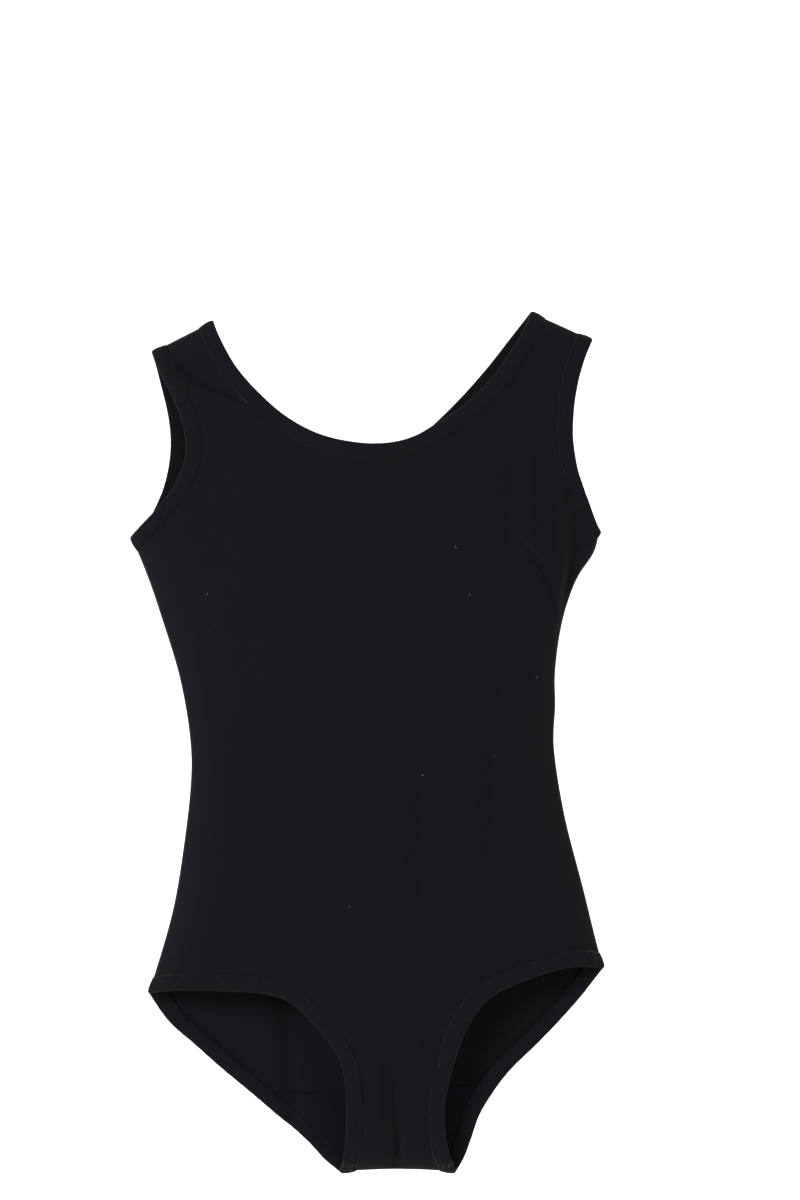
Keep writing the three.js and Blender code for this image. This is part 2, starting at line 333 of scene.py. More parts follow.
F, B = Side.FRONT, Side.BACK
FOLDS = (
    # The bust at the right: a soft standing fold beside the side seam, and its hollows.
    Fold(F, (136.5, -122), (130.5, -236), 3.0, 4.0),
    Fold(F, (145, -140), (139, -212), 4.4, -3.6),
    Fold(F, (98, -92), (100, -176), 8.0, -3.8),
    Fold(F, (112, -96), (113, -160), 6.5, 2.9),
    Fold(F, (92, -150), (92, -320), 10.0, -3.5),
    Fold(F, (118, -230), (110, -300), 8.0, 2.6),
    # The left strap: the armhole band puckers, and a crease runs over to the neck.
    Fold(F, (-146, -40), (-134, -62), 4.0, 3.6),
    Fold(F, (-132, -50), (-88, -66), 3.2, -4.2),
    Fold(F, (-128, -60), (-96, -72), 4.2, 3.0),
    Fold(F, (-140, -60), (-128, -72), 3.0, -2.4),
    Fold(F, (-139.6, -36), (-120, -53), 2.4, -4.4),
    Fold(F, (-94, -58), (-73, -82), 3.0, 3.4),
    # Long vertical hollows through the body.
    Fold(F, (-44, -232), (-36, -330), 9.0, -3.2),
    Fold(F, (-66, -205), (-60, -300), 12.0, 1.9),
    Fold(F, (-9, -262), (-7, -345), 7.0, -2.7),
    Fold(F, (9, -250), (13, -360), 10.0, 1.9),
    Fold(F, (31, -322), (33, -428), 8.0, -3.2),
    Fold(F, (52, -300), (56, -420), 11.0, 2.1),
    Fold(F, (82, -300), (88, -398), 7.5, -3.5),
    Fold(F, (104, -290), (112, -400), 10.0, 1.9),
    Fold(F, (-98, -330), (-118, -440), 12.0, 2.2),
    Fold(F, (-78, -330), (-92, -446), 9.0, -2.1),
    # The crotch: soft pleats where the front narrows between the legs.
    Fold(F, (14, -520), (13, -592), 4.5, -3.2),
    Fold(F, (24, -560), (15, -609), 3.8, -2.9),
    Fold(F, (4, -530), (2, -600), 6.0, 1.6),
    Fold(F, (32, -520), (30, -600), 7.0, 1.6),
    Fold(F, (-30, -440), (-8, -520), 9.0, -1.9),
    Fold(F, (62, -440), (44, -520), 9.0, -1.9),
    Fold(F, (16, -548), (20, -604), 2.8, -2.6),
    Fold(F, (22, -586), (13, -612), 2.6, -2.4),
    # Small ripples over the left leg.
    Fold(F, (-60, -455), (-30, -470), 3.4, 1.6),
    Fold(F, (-96, -452), (-70, -462), 3.0, 1.4),
    # The back.
    Fold(B, (-70, -200), (-48, -330), 14.0, -3.2),
    Fold(B, (72, -190), (54, -320), 14.0, -3.2),
    Fold(B, (-20, -240), (-12, -380), 11.0, 2.6),
    Fold(B, (30, -260), (34, -400), 10.0, -2.6),
    Fold(B, (-46, -470), (-12, -560), 8.0, -2.9),
    Fold(B, (80, -462), (46, -560), 8.0, -2.9),
    Fold(B, (16, -500), (16, -590), 7.0, 2.2),
    Fold(B, (-62, -478), (-56, -588), 6.0, 3.6),
)


@dataclass
class Drape:
    """How the flat pattern hangs in space, a little askew. Its lengths are in millimetres.

    The drifts say how far the middle line has moved to the right: at the armhole's level, at
    seven levels from the underarm to the hip, on the thigh, half-way down to the crotch, and
    there. The turns are the slope of a level line, and the bodies are half the hollow's depth.
    """

    pattern: Pattern
    armhole_drift: dict[Side, float] = field(default_factory=lambda: {F: 5.0, B: -3.5})
    torso_drift: tuple[float, ...] = (-5.3, -6.1, -2.8, 0.3, 2.0, 4.2, 3.0)
    thigh_drift: float = 3.5
    arch_drift: dict[Side, float] = field(default_factory=lambda: {F: 17.0, B: 8.0})
    crotch_drift: float = 18.4
    shoulder_turn: float = 0.028
    underarm_turn: float = 0.013
    hip_turn: float = 0.056
    top_body: float = 12.0
    armhole_body: float = 18.0
    chest_body: float = 22.0
    waist_body: float = 16.0
    hip_body: float = 20.0
    crotch_arch: float = 2.0
    arch_height: float = 50.0
    slack: float = 0.55
    dart_reach: float = 12.0
    gather_limit: float = 40.0
    map_step: float = 0.9
    map_half: float = 185.0
    map_margin: float = 12.0
    edges: list["Edge"] = field(default_factory=list)
    darts: list[tuple[Array, float]] = field(default_factory=list)
    maps: dict[Side, Array] = field(default_factory=dict)

    def __post_init__(self) -> None:
        """Sets the levels at which the hanging garment drifts, tilts and stands out."""
        p = self.pattern
        torso = [between(p.underarm_level, p.waist_level, k / 3) for k in range(3)]
        torso += [between(p.waist_level, p.hip_level, k / 3) for k in range(4)]
        foot = p.strap_top - p.strap_drop
        thigh = between(p.hip_level, p.crotch_level, 0.18)
        arch = between(p.hip_level, p.crotch_level, 0.5)
        legs = {F: [], B: [(thigh, self.thigh_drift)]}
        self.drift = {
            side: [(foot, 0.0), (p.armhole_level, self.armhole_drift[side]),
                   *zip(torso, self.torso_drift), *legs[side],
                   (arch, self.arch_drift[side]), (p.crotch_level, self.crotch_drift)]
            for side in Side
        }
        self.tilt = [(foot, self.shoulder_turn), (p.underarm_level, self.underarm_turn),
                     (torso[4], self.hip_turn), (arch, self.hip_turn), (p.crotch_level, 0.0)]
        self.body = [(0, self.top_body), (p.armhole_level, self.armhole_body),
                     (torso[1], self.chest_body), (p.waist_level, self.waist_body),
                     (torso[5], self.hip_body), (arch, self.waist_body),
                     (p.crotch_level, self.top_body)]
        # Where the right side seam swings out: the level, the reach along the seam, how far.
        self.swells = [(p.underarm_level - 15, 13.0, 4.4), (p.waist_level + 26, 17.0, 2.0)]
        self.map_x = np.arange(-self.map_half, self.map_half + 0.1, self.map_step)
        self.map_z = np.arange(
            p.crotch_level - self.map_margin, self.map_margin + 0.1, self.map_step)

    def _rise(self, height: Array, run: Array) -> Array:
        """The rise of the cloth at a distance inside a seam, towards a height far from it.

        Args:
            height: the rise far from the seam.
            run: the distance inside the seam.

        Returns:
            The rise at that distance.
        """
        safe = np.maximum(height, 0.01)
        return np.where(
            height > 0, safe * (1 - np.exp(-self.pattern.edge_slope * run / safe)), height
        )

    def depth(self, x: Array, z: Array) -> Array:
        """Half the distance from the smooth front cloth to the back cloth.

        Args:
            x: distances from the middle line in the pattern, in millimetres.
            z: levels in the pattern, in millimetres.

        Returns:
            The distance of each point from the middle plane, in millimetres.
        """
        p = self.pattern
        from_side = self._rise(eased(self.body, z), p.side_half(z) - np.abs(x))
        from_top = self._rise(from_side, p.shoulder(x) - z)
        return p.seam_half + self._rise(from_top, z - p.crotch_level)

    def flat_place(self, side: Side, x: Array, z: Array) -> Array:
        """Where a pattern point lies seen from the front, in millimetres.

        Args:
            side: the panel.
            x: distances from the middle line in the pattern, in millimetres.
            z: levels in the pattern, in millimetres.

        Returns:
            One row of x and z for each point.
        """
        arched = np.maximum(0, 1 - (x / self.pattern.crotch_half) ** 2)
        raised = self.crotch_arch * arched * (
            1 - smoothstep(0, self.arch_height, z - self.pattern.crotch_level))
        across = x + eased(self.drift[side], z)
        for level, reach, swell in self.swells:
            across = across + swell * np.exp(-(((z - level) / reach) ** 2)) * smoothstep(70, 150, x)
        return np.stack([across, z + eased(self.tilt, z) * x + raised], axis=-1)

    def flat_of(self, side: Side, spot: tuple[float, float]) -> tuple[float, float]:
        """The pattern point that hangs at a given place, seen from the front.

        Args:
            side: the panel.
            spot: the place, in millimetres.

        Returns:
            The x and z of the pattern point.
        """
        x, z = spot
        for _ in range(12):
            hung = self.flat_place(side, np.array([x]), np.array([z]))[0]
            x, z = x + spot[0] - hung[0], z + spot[1] - hung[1]
        return float(x), float(z)

    def relief(self, side: Side, x: Array, z: Array) -> Array:
        """How far the cloth is lifted, read between the points of a map made once.

        Args:
            side: the panel.
            x: distances from the middle line in the pattern, in millimetres.
            z: levels in the pattern, in millimetres.

        Returns:
            The lift of each point, in millimetres.
        """
        if side not in self.maps:
            across, down = np.meshgrid(self.map_x, self.map_z, indexing="ij")
            lift = self.lift(side, across.ravel(), down.ravel())
            self.maps[side] = lift.reshape(across.shape)
        made = self.maps[side]
        i = np.clip((x - self.map_x[0]) / self.map_step, 0, len(self.map_x) - 1.001)
        j = np.clip((z - self.map_z[0]) / self.map_step, 0, len(self.map_z) - 1.001)
        i0, j0 = i.astype(int), j.astype(int)
        s, t = i - i0, j - j0
        near = made[i0, j0] * (1 - t) + made[i0, j0 + 1] * t
        far = made[i0 + 1, j0] * (1 - t) + made[i0 + 1, j0 + 1] * t
        return near * (1 - s) + far * s

    def dart_lift(self, points: Array) -> Array:
        """The groove of each dart's stitches and the cloth puffed up under it.

        Args:
            points: rows of x and z in the pattern.

        Returns:
            The lift of each point, in millimetres.
        """
        lift = np.zeros(len(points))
        for path, depth in self.darts:
            gap, along, spot = nearest(path, points, self.dart_reach)
            gap = np.minimum(gap, 99)
            under = np.where(points[:, 1] < spot[:, 1], gap, -gap)
            fade = smoothstep(0, 25, lengths(path)[-1] - along)
            puff, groove = np.exp(-(((under - 2.8) / 2.4) ** 2)), np.exp(-((gap / 1.5) ** 2))
            lift += depth * fade * (puff - 1.3 * groove)
        return lift

    def edge_lift(self, side: Side, points: Array) -> Array:
        """The small waves that the elastics gather beside each edge.

        Args:
            side: the panel.
            points: rows of x and z in the pattern.

        Returns:
            The lift of each point, in millimetres.
        """
        lift = np.zeros(len(points))
        for edge in self.edges:
            gap, along, _ = nearest(edge.coarse[side], points, self.gather_limit)
            wave = np.sin(along * 2 * math.pi / edge.gather_step + 1.3 * np.sin(along / 19))
            lift += edge.gather * wave * np.exp(-gap / edge.gather_reach)
        return lift

    def lift(self, side: Side, x: Array, z: Array) -> Array:
        """How far folds, slack, darts and the pull of the elastics lift the cloth.

        Args:
            side: the panel.
            x: distances from the middle line in the pattern, in millimetres.
            z: levels in the pattern, in millimetres.

        Returns:
            The lift of each point, in millimetres.
        """
        place = self.flat_place(side, x, z)
        lift = np.zeros(len(x))
        for fold in FOLDS:
            if fold.side is side:
                lift += fold.rise(place)
        points = np.stack([x, z], 1)
        if side is F:
            lift += self.dart_lift(points)
        across, down = place[:, 0], place[:, 1]
        swell = np.sin(across / 17 + 0.9 * np.sin(down / 61))
        lift += self.slack * swell * np.sin(down / 83 + side.value + across / 95)
        lift += self.edge_lift(side, points)
        # Near a seam the two panels touch, so the cloth lies still there.
        return lift * smoothstep(0.5, 9, self.depth(x, z))

    def hang(self, side: Side, x: Array, z: Array) -> Array:
        """The middle of the cloth at pattern points, in millimetres.

        Args:
            side: the panel.
            x: distances from the middle line in the pattern, in millimetres.
            z: levels in the pattern, in millimetres.

        Returns:
            One row of x, y and z for each point.
        """
        x, z = np.asarray(x, float).ravel(), np.asarray(z, float).ravel()
        place = self.flat_place(side, x, z)
        out = self.depth(x, z) + self.relief(side, x, z)
        return np.stack([place[:, 0], side.value * out, place[:, 1]], axis=1)


@dataclass
class Edge:
    """One bound opening of the garment: its edge on the front and on the back.

    The paths run from the first seam that they meet to the second. The two seam directions are
    the pattern's way along each of those seams, away from the opening.
    """

    name: str
    paths: dict[Side, Array]
    seams: tuple[Array, Array]
    gather: float = 0.28
    gather_step: float = 9.0
    gather_reach: float = 7.0
    seam_reach: float = 20.0
    coarse: dict[Side, Array] = field(default_factory=dict)

    def __post_init__(self) -> None:
        """Keeps a shorter copy of each path for measuring distances."""
        self.coarse = {side: respaced(path, 40) for side, path in self.paths.items()}

    def inward(self, side: Side) -> Array:
        """Unit vectors from the edge into the cloth, turning to run along the seam at each end.

        Args:
            side: the panel.

        Returns:
            A unit vector for each point of the edge's path.
        """
        path = self.paths[side]
        along = np.gradient(path, axis=0)
        across = unit_rows(np.stack([along[:, 1], -along[:, 0]], axis=1))
        if (self.seams[0] + self.seams[1]) @ across[len(path) // 2] < 0:
            across = -across
        run = lengths(path)
        for seam, left in ((self.seams[0], run), (self.seams[1], run[-1] - run)):
            share = (1 - smoothstep(0, self.seam_reach, left))[:, None]
            across = across * (1 - share) + seam * share
        return unit_rows(across)


def unit(x: float, z: float) -> Array:
    """A unit vector."""
    return np.array([x, z]) / math.hypot(x, z)


# Where the bound edges hang between their two seams: places seen from the front, in
# millimetres. The neck runs from the left strap to the right one, an armhole from the shoulder
# down, and a leg from the hip down.
HUNG_EDGES: dict[tuple[str, Side], list[tuple[float, float]]] = {
    ("neck", F): [(-110.6, -13), (-104, -26.5), (-95.4, -40.6), (-80, -58), (-60.5, -74.8),
                  (-37, -87.2), (-8.5, -93.4), (13, -93.2), (30, -88.7), (46, -79.5),
                  (63.4, -68), (78, -55), (91, -39.5), (101, -24), (108.5, -11.5)],
    ("neck", B): [(-111.5, -14), (-107, -28), (-99, -41), (-84.5, -58), (-66, -75),
                  (-40, -92), (-8, -105), (16, -101), (37.7, -84.5), (59.8, -63.6),
                  (80.5, -40.8), (97, -20)],
    ("armhole_left", F): [(-147, -48.6), (-139.3, -63.4), (-133, -82), (-131.4, -100),
                          (-134.5, -113), (-141.5, -127), (-153, -141), (-163, -151)],
    ("armhole_left", B): [(-151.5, -48), (-145.6, -74.8), (-144.3, -92), (-145.7, -108),
                          (-149.5, -124), (-154.5, -136.5), (-161, -149)],
    ("armhole_right", F): [(150, -35), (145.3, -52), (142.4, -72), (142.1, -92), (144.8, -110),
                           (149.2, -124), (155.3, -140)],
    ("armhole_right", B): [(149, -36), (143, -52), (139.5, -72), (138.8, -92), (141, -110),
                           (146, -124), (153.5, -141)],
    ("leg_left", F): [(-140, -480.5), (-119, -480), (-97, -480.6), (-72, -483), (-56, -489.5),
                      (-40, -505), (-27, -521), (-20, -538), (-18, -556), (-18, -575),
                      (-19, -592)],
    ("leg_left", B): [(-145.4, -505.6), (-126.9, -522.8), (-107.7, -539.8), (-86.9, -556.8),
                      (-66.4, -574), (-46.2, -590.8), (-33.6, -603.4)],
    ("leg_right", F): [(147, -463.6), (133, -465), (108.5, -473), (86, -483.4), (71.5, -499),
                       (60, -525), (52.6, -553), (51.4, -575), (54.5, -597)],
    ("leg_right", B): [(149.2, -488), (134.4, -505.2), (118, -522.2), (100, -539.4),
                       (86.6, -556.2), (76.4, -573), (70.4, -589.4), (65.2, -602.4)],
}


def garment_edges(p: Pattern, drape: Drape) -> list[Edge]:
    """The five bound openings, each with its paths and seams.

    Args:
        p: the pattern.
        drape: how it hangs.

    Returns:
        The neck, then the armhole and the leg of each hand.
    """
    shoulder = (p.strap_inner + p.strap_width, p.strap_top - p.strap_drop)
    level = np.array([p.underarm_level, p.underarm_level - 1, p.hip_level, p.hip_level + 1])
    half = p.side_half(level)

    def path(name: str, side: Side, start: tuple[float, float], end: tuple[float, float]) -> Array:
        """One edge in the pattern, from one seam through its hung points to the other seam."""
        middle = [drape.flat_of(side, spot) for spot in HUNG_EDGES[name, side]]
        return catmull([start, *middle, end], 130)

    neck = {s: path("neck", s, (-p.strap_inner, p.strap_top), (p.strap_inner, p.strap_top))
            for s in Side}
    edges = [Edge("neck", neck, (unit(-p.strap_width, -p.strap_drop),
                                 unit(p.strap_width, -p.strap_drop)))]
    for hand in Hand:
        sign = hand.value
        arm, leg = f"armhole_{hand.name.lower()}", f"leg_{hand.name.lower()}"
        arm_paths = {s: path(arm, s, (sign * shoulder[0], shoulder[1]),
                             (sign * p.underarm_half, p.underarm_level)) for s in Side}
        leg_paths = {s: path(leg, s, (sign * p.hip_half, p.hip_level),
                             (sign * p.crotch_half, p.crotch_level)) for s in Side}
        edges.append(Edge(arm, arm_paths, (unit(-sign * p.strap_width, p.strap_drop),
                                           unit(sign * (half[1] - half[0]), -1))))
        edges.append(Edge(leg, leg_paths, (unit(sign * (half[3] - half[2]), 1),
                                           np.array([-sign, 0.0])), gather=0.42))
    return edges


# ---- Making and dressing meshes ------------------------------------------------------------


def hung_points(drape: Drape, side: Side, x: Array, z: Array, lift: Array) -> Array:
    """Pattern points hung in space and lifted off the middle of the cloth, in metres.

    Args:
        drape: how the cloth hangs.
        side: the panel that the points belong to.
        x: their distances from the middle line, in millimetres.
        z: their levels, in millimetres.
        lift: how far each is lifted outwards along the cloth's normal, in millimetres.

    Returns:
        One row for each point. None of them passes through to the other panel's side.
    """
    step = 0.5
    middle = drape.hang(side, x, z)
    across = drape.hang(side, x + step, z) - drape.hang(side, x - step, z)
    up = drape.hang(side, x, z + step) - drape.hang(side, x, z - step)
    normal = unit_rows(np.cross(across, up) * -side.value)
    out = middle + normal * np.asarray(lift, float).ravel()[:, None]
    out[:, 1] = side.value * np.maximum(side.value * out[:, 1], 0.12)
    return out * MM


def new_grid(columns: int, rows: int) -> tuple[bmesh.types.BMesh, Array, Array]:
    """A flat grid and, for each of its points, the shares of its width and of its height.

    Args:
        columns: how many faces wide it is.
        rows: how many faces high it is.

    Returns:
        The mesh, and each point's two shares, from 0 to 1.
    """
    mesh = bmesh.new()
    bmesh.ops.create_grid(mesh, x_segments=columns, y_segments=rows, size=0.5)
    flat = np.array([v.co[:2] for v in mesh.verts])
    share = (flat - flat.min(axis=0)) / (flat.max(axis=0) - flat.min(axis=0))
    return mesh, share[:, 0], share[:, 1]


def place(mesh: bmesh.types.BMesh, points: Array) -> None:
    """Moves every point of a mesh."""
    for vertex, point in zip(mesh.verts, points):
        vertex.co = point


def lay_uv(mesh: bmesh.types.BMesh, flat: Array) -> None:
    """Keeps each point's place on the flat cloth, in metres, as the map that the knit follows.

    Args:
        mesh: the mesh that gets the map.
        flat: a flat place for each of its points, in millimetres.
    """
    layer = mesh.loops.layers.uv.new("cloth")
    mesh.verts.index_update()
    for face in mesh.faces:
        for loop in face.loops:
            loop[layer].uv = flat[loop.vert.index] * MM


def finish_piece(
    mesh: bmesh.types.BMesh, name: str, body: str, finish: "Finish", replaced: tuple[str, ...] = ()
) -> bpy.types.Object:
    """Makes a mesh a piece of the model.

    Args:
        mesh: the shape, in metres, in place. It is freed.
        name: the piece's name.
        body: the body that the piece rides on.
        finish: its material.
        replaced: the solids that it stands for.

    Returns:
        The new object.
    """
    data = bpy.data.meshes.new(name)
    mesh.to_mesh(data)
    mesh.free()
    data.polygons.foreach_set("use_smooth", [True] * len(data.polygons))
    piece = bpy.data.objects.new(name, data)
    bpy.context.scene.collection.objects.link(piece)
    data.materials.append(finish.material())
    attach(piece, body)
    if replaced:
        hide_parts(*replaced)
    return piece


def thicken(piece: bpy.types.Object, thickness: float) -> None:
    """Gives cloth its thickness, in millimetres, half to each side.

    Args:
        piece: the sheet.
        thickness: how thick it gets.
    """
    wall = piece.modifiers.new("thickness", "SOLIDIFY")
    wall.thickness = thickness * MM
    wall.offset = 0
    wall.use_even_offset = False


def face_outwards(mesh: bmesh.types.BMesh, outward: Callable[[Vector], Vector]) -> None:
    """Turns an open sheet's faces the same way, towards a direction given at each place.

    Args:
        mesh: the sheet.
        outward: gives the way out at a place on it.
    """
    bmesh.ops.recalc_face_normals(mesh, faces=mesh.faces)
    towards = sum(f.normal.dot(outward(f.calc_center_median())) * f.calc_area() for f in mesh.faces)
    if towards < 0:
        bmesh.ops.reverse_faces(mesh, faces=mesh.faces)


def stitch_row(
    mesh: bmesh.types.BMesh, line: Array, pitch: float, length: float, thick: float,
    turn: float = 0.0,
) -> None:
    """Lays separate stitches along a line in space.

    Args:
        mesh: receives the stitches.
        line: the line's points, in metres.
        pitch: the distance from one stitch to the next, in metres.
        length: a stitch's length, in metres.
        thick: the thread's thickness, in metres.
        turn: each stitch's turn from the line, in radians, to one side and the other by turns.
    """
    run = lengths(line)
    count = int(run[-1] / pitch)
    at = (np.arange(count) + 0.5) * run[-1] / max(count, 1)
    spots, ahead, behind = (
        np.stack([np.interp(at + shift, run, line[:, k]) for k in range(3)], 1)
        for shift in (0, length / 2, -length / 2)
    )
    bead = bmesh.new()
    bmesh.ops.create_uvsphere(bead, u_segments=5, v_segments=4, radius=1,
                              matrix=Matrix.Rotation(math.pi / 2, 4, "Y"))
    bead_mesh = bpy.data.meshes.new("stitch")
    bead.to_mesh(bead_mesh)
    bead.free()
    start = len(mesh.verts)
    places = []
    shape = [v.co.copy() for v in bead_mesh.vertices]
    for i, (spot, way) in enumerate(zip(spots, ahead - behind)):
        direction = Vector(way).normalized()
        facing = Vector((0, 1, 0)) if abs(direction.y) < 0.9 else Vector((0, 0, 1))
        direction.rotate(Matrix.Rotation(turn if i % 2 else -turn, 3, facing))
        size = Matrix.Diagonal((length / 2, thick / 2, thick / 2))
        turned = direction.to_track_quat("X", "Z").to_matrix() @ size
        places += [turned @ point + Vector(spot) for point in shape]
        mesh.from_mesh(bead_mesh)
    mesh.verts.ensure_lookup_table()
    for vertex, point in zip(mesh.verts[start:], places):
        vertex.co = point
    bpy.data.meshes.remove(bead_mesh)


# ---- Finishes -----------------------------------------------------------------------------


def linear(code: str) -> tuple[float, float, float, float]:
    """An sRGB hex colour as linear red, green, blue and alpha.

    Args:
        code: the colour, as #rrggbb.

    Returns:
        The four values, with alpha at 1.
    """
    values = [int(code[i:i + 2], 16) / 255 for i in (1, 3, 5)]
    values = [v / 12.92 if v <= 0.04045 else ((v + 0.055) / 1.055) ** 2.4 for v in values]
    return (*values, 1.0)


def wave_scale(pitch: float) -> float:
    """The scale at which a wave texture has one band in each pitch, in millimetres."""
    return 2 * math.pi / (20 * pitch * MM)


def add(
    tree: bpy.types.NodeTree, kind: str, settings: dict[str, object] | None = None,
    values: dict[str, object] | None = None, links: dict[str, bpy.types.NodeSocket] | None = None,
) -> bpy.types.Node:
    """Adds a shader node.

    Args:
        tree: the material's node tree.
        kind: the node's type.
        settings: the node's own properties.
        values: constants for its inputs.
        links: outputs to join to its inputs.

    Returns:
        The node.
    """
    node = tree.nodes.new(kind)
    for key, value in (settings or {}).items():
        setattr(node, key, value)
    for key, value in (values or {}).items():
        node.inputs[key].default_value = value
    for key, socket in (links or {}).items():
        tree.links.new(socket, node.inputs[key])
    return node


@dataclass(frozen=True)
class Finish:
    """A material: what all of them share. The pitch and the depths are in millimetres."""

    name: str
    slot: str
    colour: str
    tint: str
    roughness: float = 0.9
    pitch: float = 1.0
    depth: float = 0.1
    sheen: float = 0.0
    sheen_roughness: float = 0.5
    specular: float = 0.25

    def material(self) -> bpy.types.Material:
        """The material, made once.

        Returns:
            The material, which every piece of this finish shares.
        """
        made = bpy.data.materials.get(self.name)
        if made:
            return made
        made = bpy.data.materials.new(self.name)
        made.use_nodes = True
        made.node_tree.nodes.clear()
        tree = made.node_tree
        out = add(tree, "ShaderNodeOutputMaterial")
        shader = add(tree, "ShaderNodeBsdfPrincipled", values={
            "Roughness": self.roughness, "Sheen Weight": self.sheen,
            "Sheen Roughness": self.sheen_roughness, "Specular IOR Level": self.specular,
            "Sheen Tint": linear("#f2f0f4"),
        })
        tree.links.new(shader.outputs[0], out.inputs[0])
        made.diffuse_color = linear(self.colour)
        self.dress(tree, shader)
        return made

    def mixed(self, tree: bpy.types.NodeTree, share: bpy.types.NodeSocket) -> bpy.types.NodeSocket:
        """The colour a share of the way to the tint.

        Args:
            tree: the material's nodes.
            share: the share, from 0 to 1.

        Returns:
            The mixed colour's output.
        """
        return add(
            tree, "ShaderNodeMix", {"data_type": "RGBA"},
            {6: linear(self.colour), 7: linear(self.tint)}, {0: share},
        ).outputs[2]

    def dress(self, tree: bpy.types.NodeTree, shader: bpy.types.Node) -> None:
        """Adds the pattern to the plain shader."""
        raise NotImplementedError


@dataclass(frozen=True)
class Jersey(Finish):
    """Weft-knitted cotton and elastane, dyed black: matt, with fine ribs and a soft haze of fibres.
    """

    def dress(self, tree: bpy.types.NodeTree, shader: bpy.types.Node) -> None:
        """Adds the knit's wales and courses, uneven dye, a haze of short fibres, and the tone kept
        on the cloth's points, with its painted light and shade.

        Args:
            tree: the material's nodes.
            shader: receives the colour and the bumps.
        """
        spot = add(tree, "ShaderNodeUVMap", {"uv_map": "cloth"}).outputs[0]
        # A real wale is 0.55 mm wide. It is drawn wider, because that is too fine to show.
        wales, courses = (
            add(tree, "ShaderNodeTexWave", {"bands_direction": way, "wave_profile": "SIN"},
                {"Scale": wave_scale(self.pitch * share), "Distortion": bend, "Detail": 1.0,
                 "Detail Scale": 2.0}, {"Vector": spot})
            for way, share, bend in (("X", 1.0, 0.6), ("Y", 0.8, 1.2))
        )
        knit = add(tree, "ShaderNodeMath", {"operation": "MULTIPLY_ADD"}, {1: 0.35},
                   {0: courses.outputs["Fac"], 2: wales.outputs["Fac"]})
        fibres = add(tree, "ShaderNodeTexNoise", None,
                     {"Scale": 1 / (0.9 * MM), "Detail": 3.0, "Roughness": 0.65}, {"Vector": spot})
        dye = add(tree, "ShaderNodeTexNoise", None,
                  {"Scale": 1 / (75 * MM), "Detail": 4.0, "Roughness": 0.55}, {"Vector": spot})
        # The tone kept on the panel's points: paler by the seams, with painted light and shade.
        tone = add(tree, "ShaderNodeAttribute", {"attribute_name": "tone_and_painted_light"}).outputs["Fac"]
        for share, part in ((0.30, fibres), (0.30, dye), (0.12, knit)):
            tone = add(tree, "ShaderNodeMath", {"operation": "MULTIPLY_ADD"}, {1: share},
                       {0: part.outputs[0], 2: tone}).outputs[0]
        tree.links.new(self.mixed(tree, tone), shader.inputs["Base Color"])
        height = add(tree, "ShaderNodeMath", {"operation": "MULTIPLY_ADD"}, {1: 0.5},
                     {0: fibres.outputs["Fac"], 2: knit.outputs[0]})
        bump = add(tree, "ShaderNodeBump", None,
                   {"Strength": 0.55, "Distance": self.depth * MM}, {"Height": height.outputs[0]})
        tree.links.new(bump.outputs[0], shader.inputs["Normal"])


@dataclass(frozen=True)
class Woven(Finish):
    """Threads crossing at right angles: a satin label, or the rubber-cored ribs of an elastic."""

    ribs: float = 1.0

    def dress(self, tree: bpy.types.NodeTree, shader: bpy.types.Node) -> None:
        """Adds crossing threads and a little uneven colour.

        Args:
            tree: the material's nodes.
            shader: receives the colour and the bumps.
        """
        spot = add(tree, "ShaderNodeUVMap", {"uv_map": "cloth"}).outputs[0]
        warp, weft = (
            add(tree, "ShaderNodeTexWave", {"bands_direction": way, "wave_profile": "SIN"},
                {"Scale": wave_scale(self.pitch * share), "Distortion": 0.2}, {"Vector": spot})
            for way, share in (("X", 1.0), ("Y", self.ribs))
        )
        cloth = add(tree, "ShaderNodeMath", {"operation": "MULTIPLY_ADD"}, {1: 0.6},
                    {0: warp.outputs["Fac"], 2: weft.outputs["Fac"]})
        soil = add(tree, "ShaderNodeTexNoise", None,
                   {"Scale": 1 / (9 * MM), "Detail": 3.0}, {"Vector": spot})
        tone = add(tree, "ShaderNodeMath", {"operation": "MULTIPLY_ADD"}, {1: 0.35},
                   {0: cloth.outputs[0], 2: soil.outputs["Fac"]})
        tone = add(tree, "ShaderNodeMath", {"operation": "MULTIPLY", "use_clamp": True},
                   {1: 0.7}, {0: tone.outputs[0]})
        tree.links.new(self.mixed(tree, tone.outputs[0]), shader.inputs["Base Color"])
        bump = add(tree, "ShaderNodeBump", None,
                   {"Strength": 0.6, "Distance": self.depth * MM}, {"Height": cloth.outputs[0]})
        tree.links.new(bump.outputs[0], shader.inputs["Normal"])


